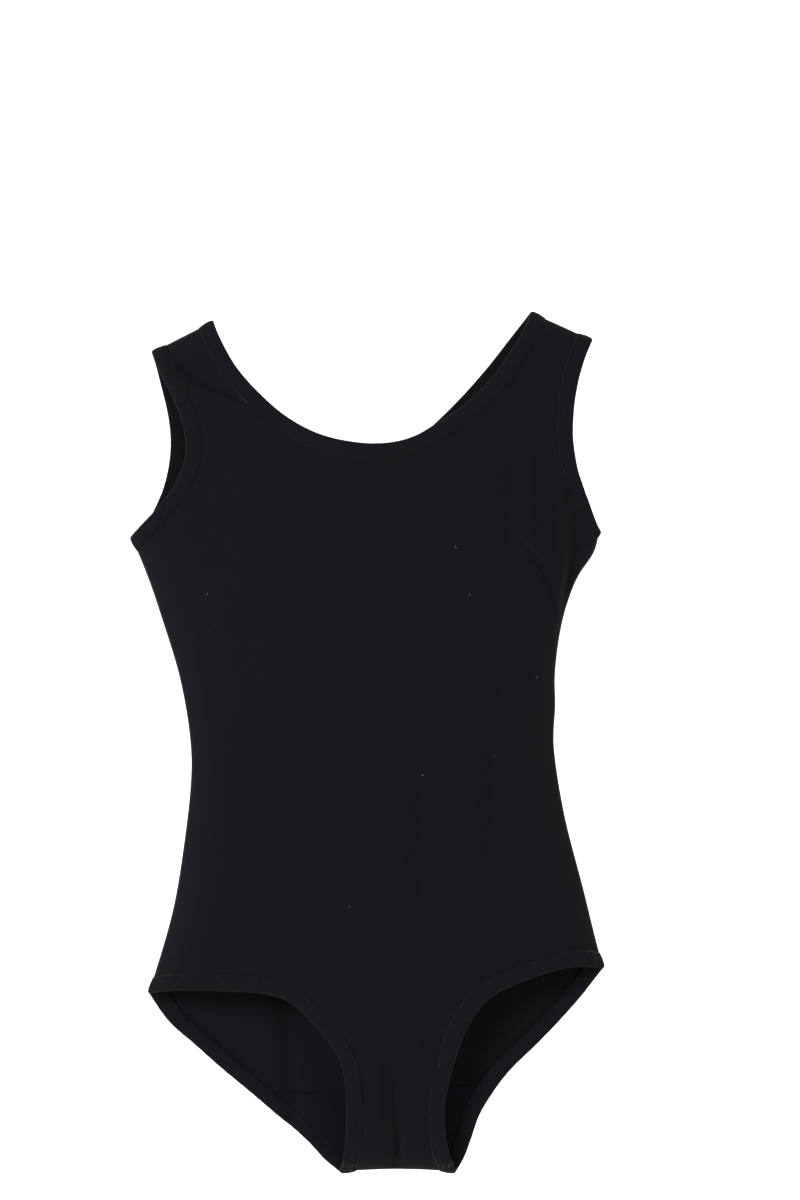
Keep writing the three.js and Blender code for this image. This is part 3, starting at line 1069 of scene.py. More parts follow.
@dataclass(frozen=True)
class Thread(Finish):
    """Spun polyester thread: two plies twisted together, a little glossier than the cloth.

    The rub is how much of it keeps its dark dye: above 0, the tint shows only in rubbed places.
    """

    patch: float = 3.0
    rub: float = 0.0

    def dress(self, tree: bpy.types.NodeTree, shader: bpy.types.Node) -> None:
        """Adds the twist and the small change of tone from stitch to stitch.

        Args:
            tree: the material's nodes.
            shader: receives the colour and the bumps.
        """
        spot = add(tree, "ShaderNodeTexCoord").outputs["Object"]
        turned = add(tree, "ShaderNodeMapping", None, {"Rotation": (0.6, 0.5, 0.7)},
                     {"Vector": spot}).outputs[0]
        twist = add(tree, "ShaderNodeTexWave", {"bands_direction": "DIAGONAL"},
                    {"Scale": wave_scale(self.pitch), "Distortion": 0.5},
                    {"Vector": turned})
        patch = add(tree, "ShaderNodeTexNoise", None,
                    {"Scale": 1 / (self.patch * MM), "Detail": 1.0}, {"Vector": spot})
        tone_shift = add(tree, "ShaderNodeMath", {"operation": "MULTIPLY_ADD"}, {1: 0.25},
                   {0: twist.outputs["Fac"], 2: patch.outputs["Fac"]})
        tone = add(tree, "ShaderNodeMapRange", None,
                   {"From Min": self.rub, "From Max": 1.1}, {"Value": tone_shift.outputs[0]})
        tree.links.new(self.mixed(tree, tone.outputs[0]), shader.inputs["Base Color"])
        bump = add(tree, "ShaderNodeBump", None,
                   {"Strength": 0.5, "Distance": self.depth * MM}, {"Height": twist.outputs["Fac"]})
        tree.links.new(bump.outputs[0], shader.inputs["Normal"])


# Weft-knitted and reactive-dyed cotton with elastane: nearly black, with a faint violet cast,
# and so matt that only its raised fibres catch the light.
JERSEY = Jersey("black_cotton_elastane_jersey", "jersey", "#0e0d12", "#19181e",
                roughness=0.95, pitch=1.1, depth=0.16, sheen=0.06, sheen_roughness=0.5,
                specular=0.10)
# The same jersey cut in strips and pressed, drawn a trace lighter than the panels.
BINDING = Jersey("black_binding_jersey", "binding_jersey", "#0f0e13", "#1a191f",
                 roughness=0.92, pitch=1.1, depth=0.16, sheen=0.06, sheen_roughness=0.5,
                 specular=0.10)
# Cotton interlock, knitted on both faces: the plainest and dullest of the cloths.
LINING = Jersey("black_cotton_interlock_lining", "lining_cotton", "#111015", "#1d1c23",
                roughness=1.0, pitch=1.3, depth=0.14, sheen=0.05, specular=0.05)
# Rubber cores covered in polyester, woven in ribs: dark grey and dull.
ELASTIC = Woven("ribbed_rubber_elastic", "elastic_rubber", "#1b1b1d", "#35353a",
                roughness=0.75, pitch=1.0, depth=0.25, ribs=2.4)
# Narrow-loom woven satin, dyed black: smooth, with a soft shine.
SATIN = Woven("black_woven_satin_label", "label_satin", "#17171a", "#3a3a40",
              roughness=0.42, pitch=0.45, depth=0.05, sheen=0.1, specular=0.5)
# Spun and dyed polyester sewing thread: as dark as the cloth, with a slight gleam.
THREAD = Thread("black_spun_polyester_thread", "seam_thread", "#0c0b10", "#17161c",
                roughness=0.8, pitch=0.5, depth=0.08, specular=0.12)
# The same thread on the legs, rubbed grey here and there where it stands proud.
WORN_THREAD = Thread("rubbed_polyester_thread", "seam_thread", "#0e0d12", "#5a5962",
                     roughness=0.7, pitch=0.5, depth=0.08, specular=0.12, patch=7.0, rub=0.66)
# Loose thread ends, drawn pale grey as a painted glint.
GLINT_PAINTED_THREAD = Thread("loose_thread_painted_glint", "seam_thread", "#2a292f", "#6a6971",
                     roughness=0.7, pitch=0.5, depth=0.05, specular=0.3)
# Loose fibres of raw cotton: small white specks.
LINT = Thread("white_cotton_lint", "seam_thread", "#b4b4b8", "#e2e2e4",
              roughness=1.0, pitch=0.5, depth=0.02)


# ---- Panels -------------------------------------------------------------------------------


@dataclass
class Panel:
    """One of the two jersey panels: cut flat, then hung."""

    side: Side
    pattern: Pattern
    drape: Drape
    edges: list[Edge]
    columns: int = 176
    top_rows: int = 84
    torso_rows: int = 150
    leg_rows: int = 72
    tuck_under: float = 2.4
    narrowing: float = 42.0
    spare: float = 4.0
    thickness: float = 0.8
    # How much paler the cloth is drawn by the side and crotch seams, the painted highlight on the
    # ridge beside a dart, the painted shade in its crease, and the painted shade on the back's
    # inside by the edges in shaded, with how far it reaches.
    side_seam_paling: float = 0.22
    crotch_paling: float = 0.20
    dart_ridge_highlight: float = 0.30
    dart_shade: float = 0.45
    inner_shade: float = 0.5
    shaded: tuple[tuple[str, float], ...] = (("armhole_left", 14.0), ("leg_right", 9.0))

    def outline(self) -> list[Array]:
        """The bound edges, moved into the cloth by as much as the bindings hide.

        Returns:
            The neck, armhole and leg cuts, in the order of the edges.
        """
        return [
            edge.paths[self.side] + edge.inward(self.side) * self.tuck_under
            for edge in self.edges
        ]

    def width(self, z: Array) -> Array:
        """Half the width of the cloth that the panel is cut from, at level z.

        Args:
            z: levels in the pattern, in millimetres.

        Returns:
            Half the width at each level, in millimetres.
        """
        p = self.pattern
        low = np.zeros(np.shape(z))
        for edge in self.edges:
            if edge.name.startswith("leg"):
                leg = edge.paths[self.side][::-1]
                reach = np.maximum.accumulate(np.abs(leg[:, 0])) + self.spare
                low = np.maximum(low, np.interp(z, np.maximum.accumulate(leg[:, 1]), reach))
        share = smoothstep(p.underarm_level, p.armhole_level, z)
        upper = between(p.underarm_half, p.strap_inner + p.strap_width, share)
        result = np.where(z > p.underarm_level, upper, p.side_half(z))
        fading = between(p.hip_half, np.minimum(low, p.hip_half),
                         smoothstep(p.hip_level, p.hip_level - self.narrowing, z))
        return np.where(z < p.hip_level, fading, result)

    def flat_points(self, u: Array, v: Array) -> Array:
        """Where the grid's points lie on the flat cloth.

        Args:
            u: the share of the width, from the left.
            v: the share of the height, from the crotch.

        Returns:
            One row of x and z for each point, in millimetres.
        """
        p = self.pattern
        total = self.top_rows + self.torso_rows + self.leg_rows
        knots = np.array([0, self.leg_rows, self.leg_rows + self.torso_rows, total]) / total
        level = np.interp(v, knots, [p.crotch_level, p.hip_level, p.underarm_level, 0.0])
        x = (2 * u - 1) * self.width(np.minimum(level, p.strap_top - p.strap_drop))
        top = p.shoulder(x)
        share = np.clip(level / p.underarm_level, 0, 1)
        z = np.where(level > p.underarm_level, top + (p.underarm_level - top) * share, level)
        return np.stack([x, z], 1)

    def cut(self, mesh: bmesh.types.BMesh, flat: Array) -> Array:
        """Cuts the neck, armholes and legs out of the flat cloth.

        Args:
            mesh: the grid of cloth. Its loose faces are removed.
            flat: its points on the flat cloth.

        Returns:
            The points that are left, with those next to a cut moved on to it.
        """
        p = self.pattern
        cuts = self.outline()
        far = 400.0
        holes = []
        for edge, path in zip(self.edges, cuts):
            if edge.name == "neck":
                holes.append(np.vstack([path, [(path[-1, 0], far), (path[0, 0], far)]]))
            else:
                out = math.copysign(far, path[0, 0])
                holes.append(np.vstack([path, [(out, path[-1, 1]), (out, path[0, 1])]]))
        gone = np.zeros(len(flat), bool)
        moved = flat.copy()
        for hole, path in zip(holes, cuts):
            within = inside(hole, flat)
            gone |= within
            _, _, spot = nearest(path, flat[within])
            moved[within] = spot
        mesh.verts.index_update()
        loose = [f for f in mesh.faces if all(gone[v.index] for v in f.verts)]
        keep_index = {v: v.index for v in mesh.verts}
        bmesh.ops.delete(mesh, geom=loose, context="FACES")
        left = np.array([keep_index[v] for v in mesh.verts])
        return moved[left]

    def tone_and_painted_light(self, flat: Array) -> Array:
        """How much paler or darker the cloth is drawn: paler by the side and crotch seams, and
        painted light and shade by the darts, inside the back and on the left half.

        Args:
            flat: the cloth's points on the flat pattern.

        Returns:
            For each, what is added to the share of the paler tint.
        """
        p = self.pattern
        x, z = flat[:, 0], flat[:, 1]
        tone_shift = self.side_seam_paling * np.exp(-np.maximum(p.side_half(z) - np.abs(x), 0) / 9)
        tone_shift += self.crotch_paling * np.exp(-np.maximum(z - p.crotch_level, 0) / 6)
        # On the front, a painted highlight on the ridge beside each dart and painted shade in its
        # crease. On the back, painted shade inside it by the left armhole and the right leg.
        if self.side is F:
            for path, depth in self.drape.darts:
                gap, _, _ = nearest(path, flat, self.drape.dart_reach)
                tone_shift += depth * (self.dart_ridge_highlight * np.exp(-((gap - 2.2) / 1.4) ** 2)
                                 - self.dart_shade * np.exp(-(gap / 1.3) ** 2))
        else:
            for name, spread in self.shaded:
                path = next(e for e in self.edges if e.name == name).paths[self.side]
                gap, _, _ = nearest(path, flat, 60)
                tone_shift -= self.inner_shade * np.exp(-gap / spread)
        # Painted light: the left half, which has hung towards the light, is drawn a trace paler
        # than the right.
        return tone_shift + 0.10 * smoothstep(40, -160, x) - 0.06 * smoothstep(-20, 60, x)

    def build(self) -> bpy.types.Object:
        """Builds the panel.

        Returns:
            The panel's piece.
        """
        rows = self.top_rows + self.torso_rows + self.leg_rows
        mesh, u, v = new_grid(self.columns, rows)
        flat = self.cut(mesh, self.flat_points(u, v))
        lay_uv(mesh, flat)
        # Each point keeps its tone, painted light and shade among it, for the jersey's colour to
        # read.
        layer = mesh.verts.layers.float.new("tone_and_painted_light")
        for vertex, value in zip(mesh.verts, self.tone_and_painted_light(flat)):
            vertex[layer] = value
        zero = np.zeros(len(flat))
        place(mesh, hung_points(self.drape, self.side, flat[:, 0], flat[:, 1], zero))
        bmesh.ops.dissolve_degenerate(mesh, edges=mesh.edges, dist=1e-6)
        face_outwards(mesh, lambda _: Vector((0, self.side.value, 0)))
        name = f"{self.side.name.lower()}_panel"
        piece = finish_piece(mesh, f"{name}_jersey", "garment", JERSEY, (name,))
        thicken(piece, self.thickness)
        return piece

    def flat_size(self) -> tuple[float, float, float]:
        """The flat cut's width, length and area, in metres.

        Returns:
            The width, the length and the area.
        """
        seam = self.pattern.side_seam()
        paths = {edge.name: edge.paths[self.side] for edge in self.edges}
        rim = np.vstack([
            paths["neck"], paths["armhole_right"], seam, paths["leg_right"],
            paths["leg_left"][::-1], seam[::-1] * (-1, 1), paths["armhole_left"][::-1],
        ])
        x, z = rim[:, 0], rim[:, 1]
        area = abs(np.dot(x, np.roll(z, 1)) - np.dot(z, np.roll(x, 1))) / 2
        return np.ptp(x) * MM, np.ptp(z) * MM, area * MM * MM


# ---- Bindings -----------------------------------------------------------------------------


@dataclass
class Binding:
    """A strip of jersey folded over an edge, the elastic in it and the row of stitches.

    Where the band turns away at its second seam, only the turned share of its width shows.
    """

    edge: Edge
    drape: Drape
    width: float = 11.0
    thickness: float = 0.6
    step: float = 1.9
    fold_points: int = 24
    stitch_line: float = 9.4
    stitch_pitch: float = 3.0
    stitch_length: float = 2.3
    stitch_thick: float = 0.42
    elastic_width: float = 6.6
    elastic_thick: float = 0.6
    cloth_lift: float = 1.24
    inner_lift: float = -2.35
    ripple: float = 0.16
    thread: Finish = THREAD
    turned: float = 1.0

    def fold(self) -> Array:
        """The folded strip's section: rows of the distance from the edge and the lift.

        Returns:
            The rows, from the outer raw edge round to the inner one.
        """
        w = self.width
        return catmull([
            (w - 0.9, 0.42), (w - 0.1, 0.48), (w, 0.62), (w - 0.5, 0.82), (w - 1.7, 0.84),
            (w - 3.0, 1.2), (w - 5.5, 1.6), (2.4, 1.6), (0.7, 1.2), (0.0, 0.35), (-0.1, -0.5),
            (0.3, -1.3), (1.6, -1.85), (5.5, -2.15), (w - 2.5, -2.0), (w - 0.5, -1.9),
        ], self.fold_points)

    def ring(self) -> list[tuple[Side, Array, Array]]:
        """The edge's front then its back, each evenly spaced, with its directions inward.

        Returns:
            For each side, its points and its directions inward.
        """
        parts = []
        for side in Side:
            path = self.edge.paths[side]
            count = max(8, round(lengths(path)[-1] / self.step))
            spots, ways = carried(path, self.edge.inward(side), count)
            if side is B:
                spots, ways = spots[::-1], ways[::-1]
            parts.append((side, spots, ways))
        return parts

    def sweep(self, section: Array) -> tuple[Array, Array, int]:
        """Carries a section round the edge.

        Args:
            section: rows of the distance from the edge and the lift, in millimetres.

        Returns:
            The points in space by column and row, their flat places, and the columns' count.
        """
        hung, flat = [], []
        start = 0.0
        for side, path, way in self.ring():
            along = start + lengths(path)
            start = along[-1]
            left = lengths(path) if side is B else lengths(path)[::-1]
            share = between(self.turned, 1.0, smoothstep(8, 75, left))
            across = share[:, None] * section[None, :, 0]
            spots = path[:, None, :] + way[:, None, :] * across[:, :, None]
            ripple = self.ripple * np.sin(along * 2 * math.pi / 6.3 + 2 * np.sin(along / 23))
            lift = section[None, :, 1] + ripple[:, None] * smoothstep(2, 9, section[:, 0])[None, :]
            points = hung_points(
                self.drape, side, spots[..., 0].ravel(), spots[..., 1].ravel(), lift.ravel()
            )
            hung.append(points.reshape(len(path), len(section), 3))
            flat.append(np.stack(
                np.broadcast_arrays(lengths(section)[None, :], along[:, None]), -1))
        points = np.concatenate(hung)
        points = np.concatenate([points, points[:1]])
        laid = np.concatenate(flat)
        laid = np.concatenate([laid, [laid[-1] + (0, self.step)]])
        return points, laid, len(points) - 1

    def strip(self, section: Array, name: str, finish: Finish, node: str) -> bpy.types.Object:
        """Builds a closed ring of one section.

        Args:
            section: rows of the distance from the edge and the lift, in millimetres.
            name: the piece's name.
            finish: its material.
            node: the solid that it stands for.

        Returns:
            The finished piece.
        """
        points, laid, columns = self.sweep(section)
        rows = len(section) - 1
        mesh, u, v = new_grid(columns, rows)
        i, j = np.rint(u * columns).astype(int), np.rint(v * rows).astype(int)
        lay_uv(mesh, laid[i, j])
        place(mesh, points[i, j])
        bmesh.ops.remove_doubles(mesh, verts=mesh.verts, dist=1e-6)
        bmesh.ops.recalc_face_normals(mesh, faces=mesh.faces)
        return finish_piece(mesh, name, "garment", finish, (node,))

    def build(self) -> list[bpy.types.Object]:
        """Builds the binding, its elastic and its stitches.

        Returns:
            The strip, the elastic tape and the stitches.
        """
        name = self.edge.name
        band = self.strip(self.fold(), f"{name}_binding_strip", BINDING, f"{name}_binding")
        thicken(band, self.thickness)
        start = (self.width - self.elastic_width) / 2 - 0.4
        tape = np.array([(start + self.elastic_width * k / 6, -1.15) for k in range(7)])
        elastic = self.strip(tape, f"{name}_elastic_tape", ELASTIC, f"{name}_elastic")
        thicken(elastic, self.elastic_thick)
        mesh = bmesh.new()
        rows = np.array([(self.stitch_line, self.cloth_lift), (self.stitch_line, self.inner_lift)])
        points, _, _ = self.sweep(rows)
        for row in range(len(rows)):
            stitch_row(mesh, points[:, row], self.stitch_pitch * MM, self.stitch_length * MM,
                       self.stitch_thick * MM)
        stitches = finish_piece(mesh, f"{name}_topstitch", "garment", self.thread)
        return [band, elastic, stitches]


# ---- Seams, darts, lining -----------------------------------------------------------------


@dataclass
class Seam:
    """An overlocked seam allowance inside the garment, and the thread loops over its edge.

    The line runs along the seam in the pattern, and inward is the way into the garment.
    """

    name: str
    line: Array
    inward: Array
    drape: Drape
    side: Side = B
    width: float = 6.0
    thickness: float = 0.9
    step: float = 1.6
    gap: float = 1.2
    lift: float = -1.9
    loop_lifts: tuple[float, float] = (-1.72, -3.0)
    loop_length: float = 2.9
    loop_thick: float = 0.34
    # The loops' distance from the raw edge, their turn in radians and their pitch.
    loops: tuple[tuple[float, float, float], ...] = ((0.6, 0.0, 2.6), (2.6, 0.85, 1.5))

    def build(self) -> list[bpy.types.Object]:
        """Builds the allowance and its thread loops.

        Returns:
            The allowance and the loops.
        """
        count = max(6, round(lengths(self.line)[-1] / self.step))
        line, way = carried(self.line, self.inward, count)
        along = lengths(line)
        reach = self.width + 0.35 * np.sin(along / 2.9) + 0.3 * np.sin(along / 11)
        mesh, u, v = new_grid(count - 1, 5)
        i = np.rint(u * (count - 1)).astype(int)
        out = self.gap + v * (reach[i] - self.gap)
        spots = line[i] + way[i] * out[:, None]
        lay_uv(mesh, np.stack([out, along[i]], 1))
        lift = self.lift - 0.5 * v - 0.35 * v * np.sin(along[i] / 6.5)
        place(mesh, hung_points(self.drape, self.side, spots[:, 0], spots[:, 1], lift))
        face_outwards(mesh, lambda _: Vector((0, self.side.value, 0)))
        strip = finish_piece(mesh, f"{self.name}_allowance", "garment", JERSEY, (self.name,))
        thicken(strip, self.thickness)
        mesh = bmesh.new()
        for inset, turn, pitch in self.loops:
            spots = line + way * (reach - inset)[:, None]
            for lift_to in self.loop_lifts:
                run = hung_points(self.drape, self.side, spots[:, 0], spots[:, 1],
                                  np.full(len(spots), lift_to))
                stitch_row(mesh, run, pitch * MM, self.loop_length * MM, self.loop_thick * MM,
                           turn)
        loops = finish_piece(mesh, f"{self.name}_overlock", "garment", THREAD)
        return [strip, loops]


def garment_seams(p: Pattern, drape: Drape) -> list[Seam]:
    """The five pressed seam allowances, each pressed towards the back.

    Args:
        p: the pattern.
        drape: how it hangs.

    Returns:
        The side and shoulder seams of each hand, then the crotch seam.
    """
    seams = []
    for hand in Hand:
        word = hand.name.lower()
        side_line = mirrored(p.side_seam(), hand)[4:-3]
        tangent = np.gradient(side_line, axis=0)
        inward = unit_rows(np.stack([tangent[:, 1], -tangent[:, 0]], 1) * hand.value)
        seams.append(Seam(f"side_seam_{word}", side_line, inward, drape))
        x = np.linspace(p.strap_inner + 1, p.strap_inner + p.strap_width - 1, 24) * hand.value
        top = np.stack([x, p.shoulder(x)], 1)
        down = np.tile(unit(-hand.value * p.strap_drop, -p.strap_width), (24, 1))
        seams.append(Seam(f"shoulder_seam_{word}", top, down, drape))
    x = np.linspace(-p.crotch_half + 2, p.crotch_half - 2, 30)
    low = np.stack([x, np.full(30, p.crotch_level)], 1)
    seams.append(Seam("crotch_seam", low, np.tile([0.0, 1.0], (30, 1)), drape))
    return seams


@dataclass
class Tuck:
    """The folded-in cloth of a bust dart, behind the front panel."""

    hand: Hand
    path: Array
    drape: Drape
    width: float = 6.0
    thickness: float = 0.9
    lift: float = -1.5
    start_share: float = 1 / 6
    points: int = 60

    def build(self) -> bpy.types.Object:
        """Builds the tuck, wide near the side seam and running out at the tip.

        Returns:
            The finished piece.
        """
        line = respaced(self.path, self.points)[round(self.points * self.start_share):]
        tangent = np.gradient(line, axis=0)
        down = unit_rows(np.stack([tangent[:, 1], -tangent[:, 0]], 1))
        down *= -np.sign(down[:, 1:])
        last = len(line) - 1
        mesh, u, v = new_grid(last, 6)
        i = np.rint(u * last).astype(int)
        wide = self.width * (1 - u) ** 0.8 + 0.5
        spots = line[i] + down[i] * (v * wide)[:, None]
        lay_uv(mesh, spots)
        place(mesh, hung_points(self.drape, F, spots[:, 0], spots[:, 1], self.lift - 1.1 * v))
        face_outwards(mesh, lambda _: Vector((0, -1, 0)))
        dart = f"bust_dart_{self.hand.name.lower()}"
        piece = finish_piece(mesh, f"{dart}_tuck", "garment", JERSEY, (dart,))
        thicken(piece, self.thickness)
        return piece


@dataclass
class Lining:
    """The cotton gusset lining, folded through the crotch inside the two panels."""

    pattern: Pattern
    drape: Drape
    lift: float = -1.5
    end_lift: float = -0.85
    thickness: float = 0.7
    fold_gap: float = 3.2
    inset: float = 4.5

    def reach(self, hand: Hand, side: Side, z: Array) -> Array:
        """How far the lining reaches towards a leg's edge, at each level.

        Args:
            hand: the leg.
            side: the panel.
            z: levels in the pattern, in millimetres.

        Returns:
            How far it reaches at each level, with the sign of x.
        """
        leg = next(e for e in self.drape.edges if e.name == f"leg_{hand.name.lower()}")
        path = leg.paths[side][::-1]
        out = np.interp(z, np.maximum.accumulate(path[:, 1]), path[:, 0])
        return out - hand.value * self.inset

    def build(self) -> bpy.types.Object:
        """Builds the lining, from its front end down and up to its back end.

        Returns:
            The finished piece.
        """
        p = self.pattern
        rise = dict(zip((F, B), p.lining_rise))
        mesh, u, v = new_grid(40, 84)
        share = rise[F] / sum(rise.values())
        height = np.where(v < share, (1 - v / share) * rise[F],
                          (v - share) / (1 - share) * rise[B])
        z = p.crotch_level + self.fold_gap + height * 0.96
        points = np.zeros((len(u), 3))
        flat = np.zeros((len(u), 2))
        for side in Side:
            mine = (v < share) if side is F else (v >= share)
            left, right = (self.reach(hand, side, z[mine]) for hand in Hand)
            x = left + (right - left) * u[mine]
            ends = smoothstep(0.8, 0.97, height[mine] / rise[side])
            lift = between(self.lift, self.end_lift, ends)
            points[mine] = hung_points(self.drape, side, x, z[mine], lift)
            flat[mine] = np.stack([x, v[mine] * sum(rise.values())], 1)
        lay_uv(mesh, flat)
        place(mesh, points)
        bmesh.ops.recalc_face_normals(mesh, faces=mesh.faces)
        piece = finish_piece(mesh, "gusset_lining_cotton", "garment", LINING, ("gusset_lining",))
        thicken(piece, self.thickness)
        area, width = 0.0, 0.0
        for side in Side:
            levels = np.linspace(p.crotch_level, p.crotch_level + rise[side], 60)
            wide = self.reach(Hand.RIGHT, side, levels) - self.reach(Hand.LEFT, side, levels)
            area, width = area + np.trapz(wide, levels), max(width, wide.max())
        return piece


@dataclass
class Label:
    """The blank satin care label, sewn by its top edge under the back of the neck."""

    thickness: float = 0.35
    curl: float = 0.9
    stitch_inset: float = 1.0
    stitch_drop: float = 1.2
    stitch_pitch: float = 2.6
    stitch_length: float = 1.9

    def build(self) -> list[bpy.types.Object]:
        """Builds the label and the stitches that hold it.

        Returns:
            The label and its stitches.
        """
        low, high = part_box("care_label")
        mesh, u, v = new_grid(30, 24)
        wide, tall = high.x - low.x, high.z - low.z
        curl = self.curl * MM * (1 - v) ** 2 * np.cos((u - 0.5) * math.pi) ** 2
        y = (low.y + high.y) / 2 - curl * 0.5 + 0.2 * MM * np.sin(v * 6)
        x = low.x + wide * u
        z = low.z + tall * v + 0.25 * MM * np.sin(u * 5) * (1 - v)
        lay_uv(mesh, np.stack([x, z], 1) / MM)
        place(mesh, np.stack([x, y, z], 1))
        face_outwards(mesh, lambda _: Vector((0, -1, 0)))
        label = finish_piece(mesh, "care_label_satin", "label", SATIN, ("care_label",))
        thicken(label, self.thickness)
        inset = self.stitch_inset * MM
        across = np.linspace(low.x + inset, high.x - inset, 21)
        line = np.stack([across, np.full(21, low.y - 0.2 * MM),
                         np.full(21, high.z - self.stitch_drop * MM)], 1)
        mesh = bmesh.new()
        stitch_row(mesh, line, self.stitch_pitch * MM, self.stitch_length * MM, 0.35 * MM)
        stitches = finish_piece(mesh, "care_label_stitches", "garment", THREAD)
        return [label, stitches]


@dataclass
class LooseEnds:
    """Thread ends left uncut where the leg stitches stop at the crotch."""

    drape: Drape
    seed: int = 11
    ends: int = 3
    spacing: float = 3.2
    start_height: float = 9.0

    def build(self) -> bpy.types.Object:
        """Builds all the ends as one piece.

        Returns:
            The finished piece.
        """
        draw = np.random.default_rng(self.seed)
        p = self.drape.pattern
        mesh = bmesh.new()
        for hand in Hand:
            for number in range(self.ends):
                start = hand.value * (p.crotch_half - 2 - self.spacing * number)
                s = np.linspace(0, 1, 7)
                swing, drop = draw.uniform(-2.5, 2.5), draw.uniform(3, 7)
                line_x = start + swing * s**2 + 0.6 * np.sin(5 * s + number)
                line_z = p.crotch_level + self.start_height - number - drop * s
                line = hung_points(self.drape, F, line_x, line_z, 1.7 + 0.8 * s)
                stitch_row(mesh, line, 0.75 * MM, 1.05 * MM, 0.28 * MM)
        # The ends are drawn pale: a painted glint where they catch the light.
        return finish_piece(mesh, "loose_thread_ends", "garment", GLINT_PAINTED_THREAD)


@dataclass
class Lint:
    """A few white cotton fibres caught on the jersey, each a short bent thread."""

    drape: Drape
    seed: int = 7
    spots: tuple[tuple[Side, float, float, float], ...] = (
        (F, 65, -168, 0.7), (F, 75, -202, 0.6), (F, 119, -263, 0.5), (F, 35, -330, 0.6),
        (F, 86, -319, 0.5), (F, -110, -198, 0.5), (F, -50, -88, 0.6), (F, -20, -420, 0.5),
        (B, -60, -210, 0.7), (B, 48, -300, 0.5), (B, 92, -160, 0.6), (B, -30, -430, 0.5),
    )

    def build(self) -> bpy.types.Object:
        """Builds all the fibres as one piece.

        Returns:
            The finished piece.
        """
        draw = np.random.default_rng(self.seed)
        mesh = bmesh.new()
        for side, x, z, size in self.spots:
            turn = draw.uniform(0, math.pi)
            bend = draw.uniform(-0.5, 0.5)
            s = np.linspace(-1, 1, 5)
            line_x = x + size * (s * math.cos(turn) - bend * s**2 * math.sin(turn))
            line_z = z + size * (s * math.sin(turn) + bend * s**2 * math.cos(turn))
            line = hung_points(self.drape, side, line_x, line_z, np.full(5, 0.55))
            stitch_row(mesh, line, 0.4 * MM, 0.55 * MM, 0.2 * MM)
        return finish_piece(mesh, "cotton_lint", "garment", LINT)


# ---- The studio ---------------------------------------------------------------------------


@dataclass(frozen=True)
class Lamp:
    """A soft square lamp: where it stands and its size, in metres, and its power in watts."""

    name: str
    spot: tuple[float, float, float]
    size: float
    power: float
    aim: tuple[float, float, float] = (0.0, 0.0, -0.3)

    def build(self) -> None:
        """Adds the lamp, turned to its aim."""
        data = bpy.data.lights.new(self.name, "AREA")
        data.shape = "SQUARE"
        data.size = self.size
        data.energy = self.power
        lamp = bpy.data.objects.new(self.name, data)
        lamp.location = self.spot
        way = Vector(self.aim) - Vector(self.spot)
        lamp.rotation_euler = way.to_track_quat("-Z", "Y").to_euler()
        bpy.context.scene.collection.objects.link(lamp)


@dataclass
class Studio:
    """The plain pale room, the lamps and the camera."""

    camera_spot: tuple[float, float, float] = (0.0199, -2.373, -0.2043)
    lens: float = 100.0
    sensor: float = 36.0
    floor_level: float = -1.4
    backdrop_depth: float = 4.0
    board_half: float = 4.5
    ambience: float = 0.42
    lamps: tuple[Lamp, ...] = (
        Lamp("key", (-1.25, -2.05, 0.4), 0.6, 31.0, (0.0, 0.0, -0.32)),
        Lamp("fill", (1.2, -2.2, 0.3), 1.2, 8.0),
        Lamp("rim_left", (-1.5, 1.3, 0.2), 0.9, 7.0),
        Lamp("rim_right", (1.5, 1.3, 0.2), 0.9, 7.0),
    )

    def board(self, name: str, where: Matrix, glow: float) -> None:
        """Adds a big pale board, which may glow as an evenly lit paper sweep does.

        Args:
            name: the board's name.
            where: its place and how it is turned.
            glow: how strongly it shines.
        """
        mesh = bmesh.new()
        bmesh.ops.create_grid(mesh, x_segments=1, y_segments=1, size=self.board_half,
                              matrix=where)
        data = bpy.data.meshes.new(name)
        mesh.to_mesh(data)
        mesh.free()
        board = bpy.data.objects.new(name, data)
        bpy.context.scene.collection.objects.link(board)
        paint = bpy.data.materials.new(f"pale_{name}_paper")
        paint.use_nodes = True
        shader = paint.node_tree.nodes["Principled BSDF"]
        shader.inputs["Base Color"].default_value = linear("#eeeeee")
        shader.inputs["Roughness"].default_value = 0.9
        shader.inputs["Emission Color"].default_value = (1, 1, 1, 1)
        shader.inputs["Emission Strength"].default_value = glow
        data.materials.append(paint)

    def build(self) -> None:
        """Builds the room."""
        scene = bpy.context.scene
        scene.view_settings.view_transform = "Standard"
        world = bpy.data.worlds.new("studio")
        world.use_nodes = True
        background = world.node_tree.nodes["Background"]
        background.inputs[0].default_value = linear("#fbfbff")
        background.inputs[1].default_value = self.ambience
        scene.world = world
        upright = Matrix.Rotation(math.pi / 2, 4, "X")
        self.board("floor", Matrix.Translation((0, 0, self.floor_level)), 0.0)
        self.board("backdrop", Matrix.Translation((0, self.backdrop_depth, 0)) @ upright, 1.0)
        for lamp in self.lamps:
            lamp.build()
        camera = bpy.data.objects.new("camera", bpy.data.cameras.new("camera"))
        camera.data.lens = self.lens
        camera.data.sensor_width = self.sensor
        camera.location = self.camera_spot
        camera.rotation_euler = (math.pi / 2, 0, 0)
        scene.collection.objects.link(camera)
        scene.camera = camera


# ---- The whole garment --------------------------------------------------------------------


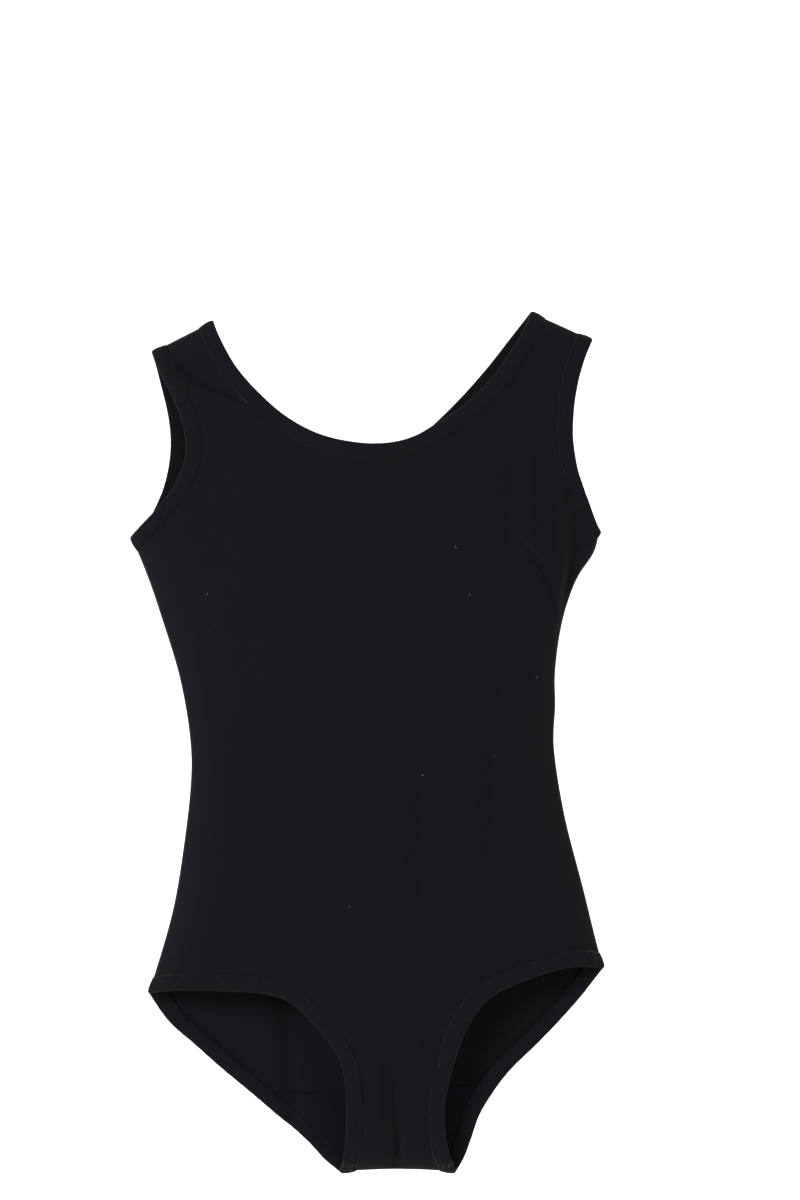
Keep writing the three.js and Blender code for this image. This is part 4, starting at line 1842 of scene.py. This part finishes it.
# Where each bust dart's stitch line hangs, from the side seam to its tip, in millimetres.
HUNG_DARTS = {
    Hand.LEFT: [(-140, -246), (-124, -233), (-106, -211.5), (-95, -182), (-90, -168)],
    Hand.RIGHT: [(132.6, -238), (131.6, -222), (127.4, -200), (120.3, -185), (113, -173),
                 (100.9, -159)],
}
# How deep that line is pressed: the left one lies nearly flat.
DART_DEPTH = {Hand.LEFT: 0.32, Hand.RIGHT: 1.1}
# The right armhole's binding turns away under the arm, so that half of its width shows.
TURNED = {"armhole_right": 0.5}


def dart_path(drape: Drape, hand: Hand) -> Array:
    """A bust dart's stitch line in the pattern, from the side seam to its tip."""
    return catmull([drape.flat_of(F, spot) for spot in HUNG_DARTS[hand]], 60)


def build_panel(side: Side, drape: Drape) -> bpy.types.Object:
    """Builds one panel and states its flat size.

    Args:
        side: the front or the back.
        drape: how the pattern hangs.

    Returns:
        The panel's piece.
    """
    panel = Panel(side, drape.pattern, drape, drape.edges)
    piece = panel.build()
    width, length, area = panel.flat_size()
    log.info("%s: flat %.3f x %.3f m, %.4f m2", piece.name, width, length, area)
    return piece


def report(*pieces: bpy.types.Object) -> None:
    """Logs the pieces that one class has built."""
    log.info("%s", ", ".join(piece.name for piece in pieces))


def main() -> None:
    """Builds the room and the garment, and reports each piece."""
    logging.basicConfig(level=logging.INFO, format="%(name)s: %(message)s")
    Studio().build()
    pattern = Pattern()
    drape = Drape(pattern)
    drape.edges = garment_edges(pattern, drape)
    drape.darts = [(dart_path(drape, hand), DART_DEPTH[hand]) for hand in Hand]
    for edge in drape.edges:
        thread = WORN_THREAD if edge.name.startswith("leg") else THREAD
        report(*Binding(edge, drape, thread=thread, turned=TURNED.get(edge.name, 1.0)).build())
    for side in Side:
        report(build_panel(side, drape))
    for seam in garment_seams(pattern, drape):
        report(*seam.build())
    for hand, (path, _) in zip(Hand, drape.darts):
        report(Tuck(hand, path, drape).build())
    report(Lining(pattern, drape).build())
    report(*Label().build())
    report(LooseEnds(drape).build(), Lint(drape).build())


if __name__ == "__main__":
    main()
